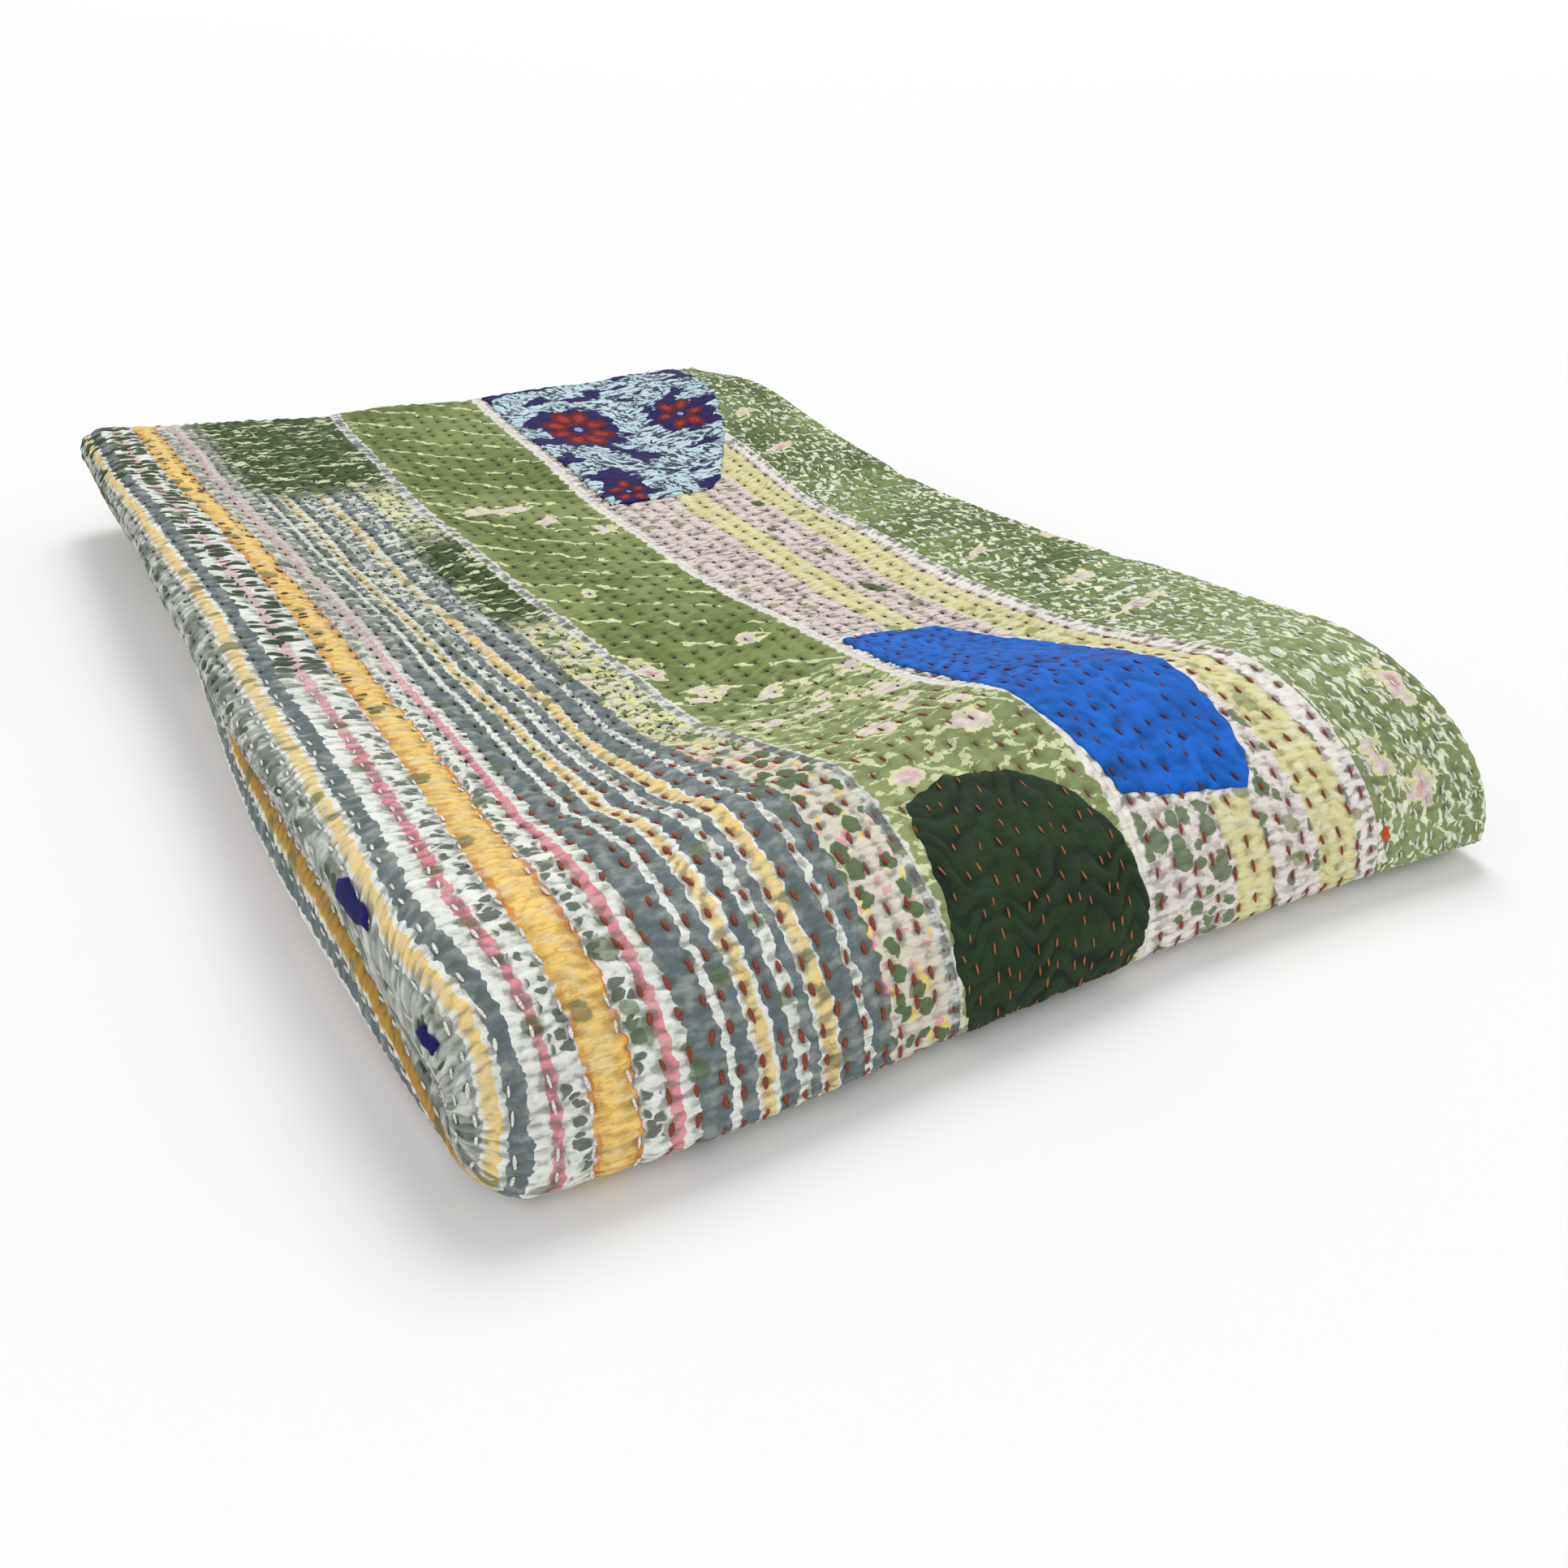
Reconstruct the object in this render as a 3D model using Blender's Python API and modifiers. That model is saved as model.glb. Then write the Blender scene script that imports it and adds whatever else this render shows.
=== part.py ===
"""Kantha quilt, folded in quarters across its width and then in half along its length.

Metres, +Z up, +Y towards the open ends, origin under the middle of the footprint.
A point of the cloth is named by two lengths on the flat quilt:
across, from the hem that ends up against the crease in the middle of the stack, and
along, from the open end that lies on the floor, round the front fold, to the upper open end.
"""
import math

import bmesh
import bpy
import numpy as np

# Driving sizes of the folded quilt
WIDTH = 0.450               # left fold to right fold
BACK = 0.675                # upper open end behind the front left corner
SHEET = 0.0030              # thickness of the quilted cloth
CREASE_GAP = 0.0015         # between the two halves of the stack
OUTER_FOLD = 0.018          # reach of the outer left fold beyond its flat run
CREASE_INSET = 0.008        # crease behind the outer left fold
INNER_FOLD = 0.005          # reach of the inner left fold
INNER_INSET = 0.012         # inner left fold behind the outer one
RIGHT_FOLD = 0.006          # reach of the right fold
HEM_INSET = 0.004           # hems behind the right fold
STAGGER = 0.020             # innermost layers past the outer ones at the open ends
ORIGIN = (0.2233, 0.3365)   # middle of the footprint from the front left corner

# Lengths of cloth round the folds and along the flat stretches
MIDDLE_RUN = 0.428          # the run against the crease
OUTER_ARC = 0.052
RIGHT_ARC = 0.018
INNER_ARC = 0.014
FLOOR_LENGTH = 0.655
FRONT_LENGTH = 0.150
TOP_LENGTH = 0.600

# Front fold
WALL_HEIGHT = 0.010         # height of its foremost line above the floor
WALL_SHARE = 0.27           # part of its cloth that lies below that line
UNDER_SHARE = 0.5           # start of the flat underside, as a part of the centre's distance
CATCH_UP = 0.130            # stretch over which the crease falls back under the top face
END_PART = 0.50             # height of the crease in the stack at the open ends

# The front fold from the left side (0) to the right side (1), in metres.
# The centre is what the layers fold round: its distance, and its part of the height there.
# The settled part is the crease's part of the height once it is clear of the fold.
FRONT_COLUMNS = ("share", "foremost", "ridge", "centre", "centre_part", "settled_part")
FRONT_ROWS = (
    (0.00, -0.011, 0.063, 0.022, 0.38, 0.69),
    (0.15, -0.017, 0.066, 0.034, 0.38, 0.60),
    (0.40, -0.014, 0.076, 0.040, 0.40, 0.50),
    (0.65, -0.013, 0.098, 0.042, 0.42, 0.46),
    (0.85, -0.017, 0.081, 0.042, 0.42, 0.46),
    (1.00, -0.023, 0.081, 0.042, 0.42, 0.46),
)

# Height of the top face from the front ridge (0) to the open ends (1), in metres
TOP_COLUMNS = ("share", "left", "quarter", "middle", "three_quarters", "right")
TOP_ROWS = (
    (0.00, 0.0675, 0.0705, 0.0700, 0.0705, 0.0755),
    (0.17, 0.0655, 0.0510, 0.0480, 0.0490, 0.0680),
    (0.40, 0.0640, 0.0500, 0.0455, 0.0445, 0.0600),
    (0.60, 0.0665, 0.0525, 0.0460, 0.0445, 0.0600),
    (0.82, 0.0690, 0.0575, 0.0510, 0.0520, 0.0760),
    (1.00, 0.0660, 0.0610, 0.0590, 0.0630, 0.0700),
)

# Drift of the sides off their straight lines, by the distance behind the front, in metres
SIDE_COLUMNS = ("behind", "left_upper", "left_lower", "right")
SIDE_ROWS = (
    (-0.02, -0.006, -0.004, 0.006),
    (0.05, -0.008, -0.007, 0.006),
    (0.17, -0.008, -0.009, 0.004),
    (0.25, -0.006, -0.005, 0.003),
    (0.33, -0.002, 0.003, 0.002),
    (0.45, 0.003, 0.016, 0.002),
    (0.58, 0.007, 0.029, 0.003),
    (0.68, 0.012, 0.035, 0.003),
)

# Soft lumps of the top face: size, waves over the width and the depth, and their start
LUMP_COLUMNS = ("size", "waves_across", "waves_along", "start")
LUMP_ROWS = (
    (0.0009, 3.1, 1.7, 0.4),
    (0.0008, 1.3, 4.2, 2.1),
    (0.0006, 4.6, 3.4, 5.0),
)

# Cells of the sheet along each stretch
ACROSS_CELLS = (7, 8, 13, 5, 5, 5, 5)
FLOOR_CELLS = 9
FRONT_CELLS = 12
TOP_CELLS = 17

# Sewn-on pieces
PATCH = 0.0010              # thickness of a patch
PATCH_GAP = 0.0003          # between a patch and the quilt

# Outlines of the patches on the flat quilt, anticlockwise, in metres
OUTLINE_COLUMNS = ("across", "along")
FLORAL_OUTLINE = (
    (0.733, 1.405), (0.731, 1.181), (0.762, 1.178), (0.798, 1.182), (0.818, 1.202),
    (0.852, 1.258), (0.880, 1.325), (0.892, 1.405),
)
BLUE_OUTLINE = (
    (0.737, 0.930), (0.734, 0.756), (0.765, 0.748), (0.788, 0.746), (0.799, 0.758),
    (0.808, 0.785), (0.824, 0.842), (0.814, 0.884), (0.790, 0.928),
)
DARK_GREEN_OUTLINE = (
    (0.645, 0.780), (0.636, 0.752), (0.630, 0.722), (0.634, 0.675), (0.696, 0.675), (0.714, 0.698),
    (0.722, 0.720), (0.722, 0.748), (0.712, 0.766), (0.694, 0.778), (0.668, 0.786),
)
NAVY_SIDE_OUTLINE = (
    (0.461, 0.824), (0.4645, 0.8245), (0.466, 0.843), (0.462, 0.850), (0.457, 0.850),
)
NAVY_CORNER_OUTLINE = (
    (0.456, 0.772), (0.4595, 0.760), (0.463, 0.760), (0.4605, 0.772), (0.4575, 0.778),
)

# Colour, roughness of each piece
FINISHES = {
    "quilt": ((0.42, 0.47, 0.33, 1.0), 0.92),
    "patch_floral": ((0.20, 0.30, 0.42, 1.0), 0.80),
    "patch_blue": ((0.03, 0.13, 0.55, 1.0), 0.80),
    "patch_dark_green": ((0.02, 0.05, 0.025, 1.0), 0.82),
    "scrap_navy_side": ((0.01, 0.008, 0.10, 1.0), 0.80),
    "scrap_navy_corner": ((0.01, 0.008, 0.10, 1.0), 0.80),
}

# Runs of the section across the quilt, in the order of the cloth from its middle hem
RIGHT_CENTRE = WIDTH - RIGHT_FOLD
INNER_CENTRE = INNER_INSET + INNER_FOLD
TOP_RUN = RIGHT_CENTRE - OUTER_FOLD
INNER_RUN = RIGHT_CENTRE - INNER_CENTRE
LAST_RUN = WIDTH - 2 * HEM_INSET - INNER_CENTRE
SECTION = (MIDDLE_RUN, OUTER_ARC, TOP_RUN, RIGHT_ARC, INNER_RUN, INNER_ARC, LAST_RUN)
SECTION_ENDS = np.cumsum((0.0,) + SECTION)

FRONT_START = FLOOR_LENGTH
FRONT_END = FRONT_START + FRONT_LENGTH
ALONG = FRONT_END + TOP_LENGTH


def ease(t):
    """Soft step from 0 to 1."""
    t = np.clip(t, 0, 1)
    return t * t * (3 - 2 * t)


def curve_through(place, knots, values):
    """Smooth curve through a table's values at its knots."""
    knots = np.asarray(knots, float)
    values = np.asarray(values, float)
    place = np.clip(place, knots[0], knots[-1])
    cell = np.clip(np.searchsorted(knots, place, side="right") - 1, 0, len(knots) - 2)
    slope = np.gradient(values, knots)
    span = knots[cell + 1] - knots[cell]
    t = (place - knots[cell]) / span
    low = (1 + 2 * t) * (1 - t) ** 2 * values[cell] + t * (1 - t) ** 2 * span * slope[cell]
    high = t * t * (3 - 2 * t) * values[cell + 1] + t * t * (t - 1) * span * slope[cell + 1]
    return low + high


def column(rows, index):
    return [row[index] for row in rows]


def front_value(name, share):
    """One column of the front fold's table at a part of the width."""
    return curve_through(share, column(FRONT_ROWS, 0), column(FRONT_ROWS, FRONT_COLUMNS.index(name)))


def side_drift(name, behind):
    """One column of the sides' table at a distance behind the front."""
    return curve_through(behind, column(SIDE_ROWS, 0), column(SIDE_ROWS, SIDE_COLUMNS.index(name)))


def top_height(share_across, share_back):
    """Height of the top face: table lines blended over the width, with soft lumps."""
    stations = len(TOP_COLUMNS) - 1
    lines = np.array([curve_through(share_back, column(TOP_ROWS, 0), column(TOP_ROWS, 1 + i))
                      for i in range(stations)])
    spaces = stations - 1
    low = np.clip((share_across * spaces).astype(int), 0, spaces - 1)
    t = ease(share_across * spaces - low)
    index = np.arange(lines.shape[1])
    height = lines[low, index] * (1 - t) + lines[low + 1, index] * t
    for size, waves_across, waves_along, start in LUMP_ROWS:
        phase = 2 * math.pi * (waves_across * share_across + waves_along * share_back) + start
        height = height + size * np.sin(phase)
    return height


def section_point(across):
    """Place in a half of the stack: x, level from the crease (0) to the outside (1), and
    whether the face side of the cloth looks to the crease (0) or away from it (1)."""
    part = np.clip(np.searchsorted(SECTION_ENDS, across, side="right") - 1, 0, len(SECTION) - 1)
    t = np.clip((across - SECTION_ENDS[part]) / np.array(SECTION)[part], 0, 1)
    turn = (1 - np.cos(math.pi * t)) / 2
    swell = np.sin(math.pi * t)
    x = np.choose(part, (
        CREASE_INSET + (WIDTH - HEM_INSET - CREASE_INSET) * (1 - t),
        np.where(t < 0.5, CREASE_INSET, OUTER_FOLD) * (1 - swell),
        OUTER_FOLD + TOP_RUN * t,
        RIGHT_CENTRE + RIGHT_FOLD * swell,
        RIGHT_CENTRE - INNER_RUN * t,
        INNER_CENTRE - INNER_FOLD * swell,
        INNER_CENTRE + LAST_RUN * t,
    ))
    crease = np.zeros_like(t)
    level = np.choose(part, (
        crease, turn, crease + 1, 1 - turn / 3, crease + 2 / 3, (2 - turn) / 3, crease + 1 / 3,
    ))
    face = np.choose(part, (crease, turn, crease + 1, 1 - turn, crease, turn, crease + 1))
    return x, level, face


def outer_line(share_across, along):
    """Outside of the stack in its own upright plane: distance behind the front, and height."""
    foremost = front_value("foremost", share_across)
    ridge = front_value("ridge", share_across)
    under = front_value("centre", share_across) * UNDER_SHARE
    ridge_height = top_height(share_across, np.zeros_like(share_across))
    turn = np.clip((along - FRONT_START) / FRONT_LENGTH, 0, 1)
    lower = np.clip(turn / WALL_SHARE, 0, 1) * math.pi / 2
    upper = np.clip((turn - WALL_SHARE) / (1 - WALL_SHARE), 0, 1) * math.pi / 2
    rising = turn > WALL_SHARE
    fold_y = np.where(rising, ridge - (ridge - foremost) * np.cos(upper),
                      under - (under - foremost) * np.sin(lower))
    fold_z = np.where(rising, WALL_HEIGHT + (ridge_height - WALL_HEIGHT) * np.sin(upper),
                      WALL_HEIGHT * (1 - np.cos(lower)))
    share_top = np.clip((along - FRONT_END) / TOP_LENGTH, 0, 1)
    share_floor = np.clip((FRONT_START - along) / FLOOR_LENGTH, 0, 1)
    on_top = along >= FRONT_END
    on_floor = along <= FRONT_START
    y = np.where(on_top, ridge + (BACK - ridge) * share_top,
                 np.where(on_floor, under + (BACK - under) * share_floor, fold_y))
    z = np.where(on_top, top_height(share_across, share_top), np.where(on_floor, 0.0, fold_z))
    start = np.where(on_floor, under, ridge)
    return y, z, start, np.maximum(share_top, share_floor), on_top | on_floor, ease(turn)


def crease_line(share_across, outer_y, start, straight):
    """The crease between the halves, which every layer folds round at the front."""
    centre = front_value("centre", share_across)
    ridge = front_value("ridge", share_across)
    ridge_height = top_height(share_across, np.zeros_like(share_across))
    centre_height = ridge_height * front_value("centre_part", share_across)
    caught = ease((outer_y - start) / CATCH_UP)
    y = np.where(straight, outer_y + (centre - start) * (1 - caught), centre)
    share_back = np.clip((y - ridge) / (BACK - ridge), 0, 1)
    settled_part = front_value("settled_part", share_across)
    part = settled_part + (END_PART - settled_part) * share_back
    settled = top_height(share_across, share_back) * part
    rise = ease((y - centre) / CATCH_UP)
    z = np.where(straight, centre_height + (settled - centre_height) * rise, centre_height)
    return y, z


def fold(across, along):
    """World place of points of the quilt's face side, folded."""
    x, level, face = section_point(across)
    share_across = np.clip(x / WIDTH, 0, 1)
    outer_y, outer_z, start, share_end, straight, upper = outer_line(share_across, along)
    crease_y, crease_z = crease_line(share_across, outer_y, start, straight)
    reach_y = outer_y - crease_y
    reach_z = outer_z - crease_z
    reach = np.hypot(reach_y, reach_z)
    first = CREASE_GAP / 2
    out = first + level * (reach - first - SHEET) + face * SHEET
    y = crease_y + reach_y / reach * out + np.where(straight, share_end * STAGGER * (1 - level), 0)
    z = crease_z + reach_z / reach * out
    low = side_drift("left_lower", y)
    left = low + (side_drift("left_upper", y) - low) * upper
    x = x + left * (1 - share_across) + side_drift("right", y) * share_across
    return np.stack((x - ORIGIN[0], y - ORIGIN[1], z), axis=1)


def marks(start, lengths, cells):
    """Even marks along a chain of stretches."""
    places = [start]
    for length, count in zip(lengths, cells):
        places.extend(places[-1] + length / count * np.arange(1, count + 1))
    return np.array(places)


def flat_quilt():
    """The quilt laid flat, in triangles that end where the folds do."""
    across_marks = marks(0.0, SECTION, ACROSS_CELLS)
    along_marks = marks(0.0, (FLOOR_LENGTH, FRONT_LENGTH, TOP_LENGTH),
                        (FLOOR_CELLS, FRONT_CELLS, TOP_CELLS))
    columns = len(across_marks) - 1
    rows = len(along_marks) - 1
    bm = bmesh.new()
    bmesh.ops.create_grid(bm, x_segments=columns, y_segments=rows, size=0.5)
    for point in bm.verts:
        point.co.x = across_marks[round((point.co.x + 0.5) * columns)]
        point.co.y = along_marks[round((point.co.y + 0.5) * rows)]
    bmesh.ops.triangulate(bm, faces=bm.faces[:], quad_method="FIXED")
    return bm


def folded_places(bm):
    flat = np.array([point.co[:2] for point in bm.verts])
    return fold(flat[:, 0], flat[:, 1])


def new_piece(name, bm, thickness, outwards):
    """Mesh object with its wall and its finish."""
    mesh = bpy.data.meshes.new(name)
    bm.to_mesh(mesh)
    bm.free()
    piece = bpy.data.objects.new(name, mesh)
    parts.objects.link(piece)
    wall = piece.modifiers.new("wall", "SOLIDIFY")
    wall.thickness = thickness
    wall.offset = 1.0 if outwards else -1.0
    colour, roughness = FINISHES[name]
    material = bpy.data.materials.new(name)
    material.use_nodes = True
    shader = material.node_tree.nodes["Principled BSDF"]
    shader.inputs["Base Color"].default_value = colour
    shader.inputs["Roughness"].default_value = roughness
    shader.inputs["Metallic"].default_value = 0.0
    mesh.materials.append(material)
    return piece


def build_quilt():
    """The whole quilt: one sheet, folded, with its thickness behind its face side."""
    bm = flat_quilt()
    cloth = bm.loops.layers.uv.new("cloth")
    for face in bm.faces:
        for loop in face.loops:
            loop[cloth].uv = loop.vert.co.xy
    for point, place in zip(bm.verts, folded_places(bm)):
        point.co = place
    return new_piece("quilt", bm, SHEET, outwards=False)


def build_patch(name, outline):
    """A patch: the quilt's own facets, trimmed to an outline and lifted off the face side."""
    bm = flat_quilt()
    place_layer = bm.verts.layers.float_vector.new("place")
    for point, place in zip(bm.verts, folded_places(bm)):
        point[place_layer] = place
    for (across, along), (next_across, next_along) in zip(outline, outline[1:] + outline[:1]):
        outside = (next_along - along, across - next_across, 0.0)
        bmesh.ops.bisect_plane(bm, geom=bm.verts[:] + bm.edges[:] + bm.faces[:], dist=1e-6,
                               plane_co=(across, along, 0.0), plane_no=outside, clear_outer=True)
    bmesh.ops.triangulate(bm, faces=bm.faces[:])
    for point in bm.verts:
        point.co = point[place_layer]
    bm.normal_update()
    lifted = [point.co + point.normal * PATCH_GAP for point in bm.verts]
    for point, place in zip(bm.verts, lifted):
        point.co = place
    return new_piece(name, bm, PATCH, outwards=True)


for item in list(bpy.data.objects):
    bpy.data.objects.remove(item)
parts = bpy.data.collections.new("kantha quilt")
bpy.context.scene.collection.children.link(parts)

build_quilt()
build_patch("patch_floral", FLORAL_OUTLINE)
build_patch("patch_blue", BLUE_OUTLINE)
build_patch("patch_dark_green", DARK_GREEN_OUTLINE)
build_patch("scrap_navy_side", NAVY_SIDE_OUTLINE)
build_patch("scrap_navy_corner", NAVY_CORNER_OUTLINE)
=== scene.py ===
"""Kantha quilt, folded in quarters across its width and then in half along its length.

Metres, +Z up, +Y towards the open ends, as the solids it dresses.
"""

import math

import bmesh
import bpy
import numpy as np
from mathutils import Matrix, Vector


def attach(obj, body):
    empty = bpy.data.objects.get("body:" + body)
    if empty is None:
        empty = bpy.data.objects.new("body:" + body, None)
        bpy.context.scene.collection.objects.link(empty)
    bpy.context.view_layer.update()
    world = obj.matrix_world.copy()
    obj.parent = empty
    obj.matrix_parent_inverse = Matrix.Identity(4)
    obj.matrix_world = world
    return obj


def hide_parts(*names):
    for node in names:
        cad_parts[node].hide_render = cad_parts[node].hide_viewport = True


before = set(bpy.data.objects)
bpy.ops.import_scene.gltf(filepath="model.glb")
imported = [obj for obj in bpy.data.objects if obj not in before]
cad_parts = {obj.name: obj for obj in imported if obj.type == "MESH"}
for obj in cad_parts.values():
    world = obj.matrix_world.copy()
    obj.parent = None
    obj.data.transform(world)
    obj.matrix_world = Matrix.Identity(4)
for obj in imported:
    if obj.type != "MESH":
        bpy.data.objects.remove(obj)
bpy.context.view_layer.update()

# The quilt: layers of old cotton cloth held together by rows of running stitch.
# It is one sheet, 1.79 by 1.405 m as it lies here, folded in quarters over its width and then
# in half. A point of it is named by two lengths: across, from the hem in the middle of the
# stack, and along, from the open end on the floor, round the front fold, to the open end on top.
WIDTH = 0.450
BACK = 0.675
SHEET = 0.0030
CREASE_GAP = 0.0015
OUTER_FOLD = 0.018
CREASE_INSET = 0.008
INNER_FOLD = 0.005
INNER_INSET = 0.012
RIGHT_FOLD = 0.006
HEM_INSET = 0.004
STAGGER = 0.020
ORIGIN = (0.2233, 0.3365)
MIDDLE_RUN = 0.428
OUTER_ARC = 0.052
RIGHT_ARC = 0.018
INNER_ARC = 0.014
FRONT_START = 0.655
FRONT_LENGTH = 0.150
FRONT_END = FRONT_START + FRONT_LENGTH
TOP_LENGTH = 0.600
ALONG = FRONT_END + TOP_LENGTH
WALL_HEIGHT = 0.010
WALL_SHARE = 0.27
UNDER_SHARE = 0.5
CATCH_UP = 0.130
END_PART = 0.50

# Columns: part of the width, foremost line, ridge, centre of the fold, its part of the height,
# and the crease's part of the height behind the fold
FRONT_ROWS = (
    (0.00, -0.011, 0.063, 0.022, 0.38, 0.69),
    (0.15, -0.017, 0.066, 0.034, 0.38, 0.60),
    (0.40, -0.014, 0.076, 0.040, 0.40, 0.50),
    (0.65, -0.013, 0.098, 0.042, 0.42, 0.46),
    (0.85, -0.017, 0.081, 0.042, 0.42, 0.46),
    (1.00, -0.023, 0.081, 0.042, 0.42, 0.46),
)
# Columns: part of the top from its ridge, height at the left, three places between, the right
TOP_ROWS = (
    (0.00, 0.0675, 0.0705, 0.0700, 0.0705, 0.0755),
    (0.17, 0.0655, 0.0510, 0.0480, 0.0490, 0.0680),
    (0.40, 0.0640, 0.0500, 0.0455, 0.0445, 0.0600),
    (0.60, 0.0665, 0.0525, 0.0460, 0.0445, 0.0600),
    (0.82, 0.0690, 0.0575, 0.0510, 0.0520, 0.0760),
    (1.00, 0.0660, 0.0610, 0.0590, 0.0630, 0.0700),
)
# Columns: distance behind the front, drift of the left side above, below, and of the right side
SIDE_ROWS = (
    (-0.02, -0.006, -0.004, 0.006),
    (0.05, -0.008, -0.007, 0.006),
    (0.17, -0.008, -0.009, 0.004),
    (0.25, -0.006, -0.005, 0.003),
    (0.33, -0.002, 0.003, 0.002),
    (0.45, 0.003, 0.016, 0.002),
    (0.58, 0.007, 0.029, 0.003),
    (0.68, 0.012, 0.035, 0.003),
)
# Columns: height of a soft lump, waves over the width and the depth, start
LUMP_ROWS = (
    (0.0009, 3.1, 1.7, 0.4),
    (0.0008, 1.3, 4.2, 2.1),
    (0.0006, 4.6, 3.4, 5.0),
)

RIGHT_CENTRE = WIDTH - RIGHT_FOLD
INNER_CENTRE = INNER_INSET + INNER_FOLD
TOP_RUN = RIGHT_CENTRE - OUTER_FOLD
INNER_RUN = RIGHT_CENTRE - INNER_CENTRE
LAST_RUN = WIDTH - 2 * HEM_INSET - INNER_CENTRE
SECTION = (MIDDLE_RUN, OUTER_ARC, TOP_RUN, RIGHT_ARC, INNER_RUN, INNER_ARC, LAST_RUN)
SECTION_ENDS = np.cumsum((0.0,) + SECTION)


def ease(t):
    """Soft step from 0 to 1."""
    t = np.clip(t, 0, 1)
    return t * t * (3 - 2 * t)


def uneven(x, y, start):
    """Smooth unevenness from -1 to 1 that changes about once for each unit of x and of y."""
    draws = np.random.default_rng(start).uniform(-1, 1, (256, 256))
    column = np.floor(x).astype(int)
    row = np.floor(y).astype(int)
    over = ease(x - column)
    up = ease(y - row)
    low = draws[row % 256, column % 256] * (1 - over) + draws[row % 256, (column + 1) % 256] * over
    next_row = (row + 1) % 256
    high = draws[next_row, column % 256] * (1 - over) + draws[next_row, (column + 1) % 256] * over
    return low * (1 - up) + high * up


def curve_through(place, rows, column):
    """Smooth curve through one column of a table, whose first column holds the places."""
    knots = np.array([row[0] for row in rows])
    values = np.array([row[column] for row in rows])
    place = np.clip(place, knots[0], knots[-1])
    cell = np.clip(np.searchsorted(knots, place, side="right") - 1, 0, len(knots) - 2)
    slope = np.gradient(values, knots)
    span = knots[cell + 1] - knots[cell]
    t = (place - knots[cell]) / span
    low = (1 + 2 * t) * (1 - t) ** 2 * values[cell] + t * (1 - t) ** 2 * span * slope[cell]
    high = t * t * (3 - 2 * t) * values[cell + 1] + t * t * (t - 1) * span * slope[cell + 1]
    return low + high


def top_height(share_across, share_back):
    """Height of the top face."""
    spaces = len(TOP_ROWS[0]) - 2
    lines = np.array([curve_through(share_back, TOP_ROWS, 1 + i) for i in range(spaces + 1)])
    low = np.clip((share_across * spaces).astype(int), 0, spaces - 1)
    t = ease(share_across * spaces - low)
    index = np.arange(lines.shape[1])
    height = lines[low, index] * (1 - t) + lines[low + 1, index] * t
    for size, waves_across, waves_along, start in LUMP_ROWS:
        phase = 2 * math.pi * (waves_across * share_across + waves_along * share_back) + start
        height = height + size * np.sin(phase)
    return height


def section_point(across):
    """Place in a half of the stack: x, level from the crease (0) to the outside (1), and
    whether the face side of the cloth looks to the crease (0) or away from it (1)."""
    part = np.clip(np.searchsorted(SECTION_ENDS, across, side="right") - 1, 0, len(SECTION) - 1)
    t = np.clip((across - SECTION_ENDS[part]) / np.array(SECTION)[part], 0, 1)
    turn = (1 - np.cos(math.pi * t)) / 2
    swell = np.sin(math.pi * t)
    x = np.choose(part, (
        CREASE_INSET + (WIDTH - HEM_INSET - CREASE_INSET) * (1 - t),
        np.where(t < 0.5, CREASE_INSET, OUTER_FOLD) * (1 - swell),
        OUTER_FOLD + TOP_RUN * t,
        RIGHT_CENTRE + RIGHT_FOLD * swell,
        RIGHT_CENTRE - INNER_RUN * t,
        INNER_CENTRE - INNER_FOLD * swell,
        INNER_CENTRE + LAST_RUN * t,
    ))
    crease = np.zeros_like(t)
    level = np.choose(part, (
        crease, turn, crease + 1, 1 - turn / 3, crease + 2 / 3, (2 - turn) / 3, crease + 1 / 3,
    ))
    face = np.choose(part, (crease, turn, crease + 1, 1 - turn, crease, turn, crease + 1))
    return x, level, face


def outer_line(share_across, along):
    """Outside of the stack in its own upright plane: distance behind the front, and height."""
    foremost = curve_through(share_across, FRONT_ROWS, 1)
    ridge = curve_through(share_across, FRONT_ROWS, 2)
    under = curve_through(share_across, FRONT_ROWS, 3) * UNDER_SHARE
    ridge_height = top_height(share_across, np.zeros_like(share_across))
    turn = np.clip((along - FRONT_START) / FRONT_LENGTH, 0, 1)
    lower = np.clip(turn / WALL_SHARE, 0, 1) * math.pi / 2
    upper = np.clip((turn - WALL_SHARE) / (1 - WALL_SHARE), 0, 1) * math.pi / 2
    rising = turn > WALL_SHARE
    fold_y = np.where(rising, ridge - (ridge - foremost) * np.cos(upper),
                      under - (under - foremost) * np.sin(lower))
    fold_z = np.where(rising, WALL_HEIGHT + (ridge_height - WALL_HEIGHT) * np.sin(upper),
                      WALL_HEIGHT * (1 - np.cos(lower)))
    share_top = np.clip((along - FRONT_END) / TOP_LENGTH, 0, 1)
    share_floor = np.clip((FRONT_START - along) / FRONT_START, 0, 1)
    on_top = along >= FRONT_END
    on_floor = along <= FRONT_START
    y = np.where(on_top, ridge + (BACK - ridge) * share_top,
                 np.where(on_floor, under + (BACK - under) * share_floor, fold_y))
    z = np.where(on_top, top_height(share_across, share_top), np.where(on_floor, 0.0, fold_z))
    start = np.where(on_floor, under, ridge)
    return y, z, start, np.maximum(share_top, share_floor), on_top | on_floor, ease(turn)


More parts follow.
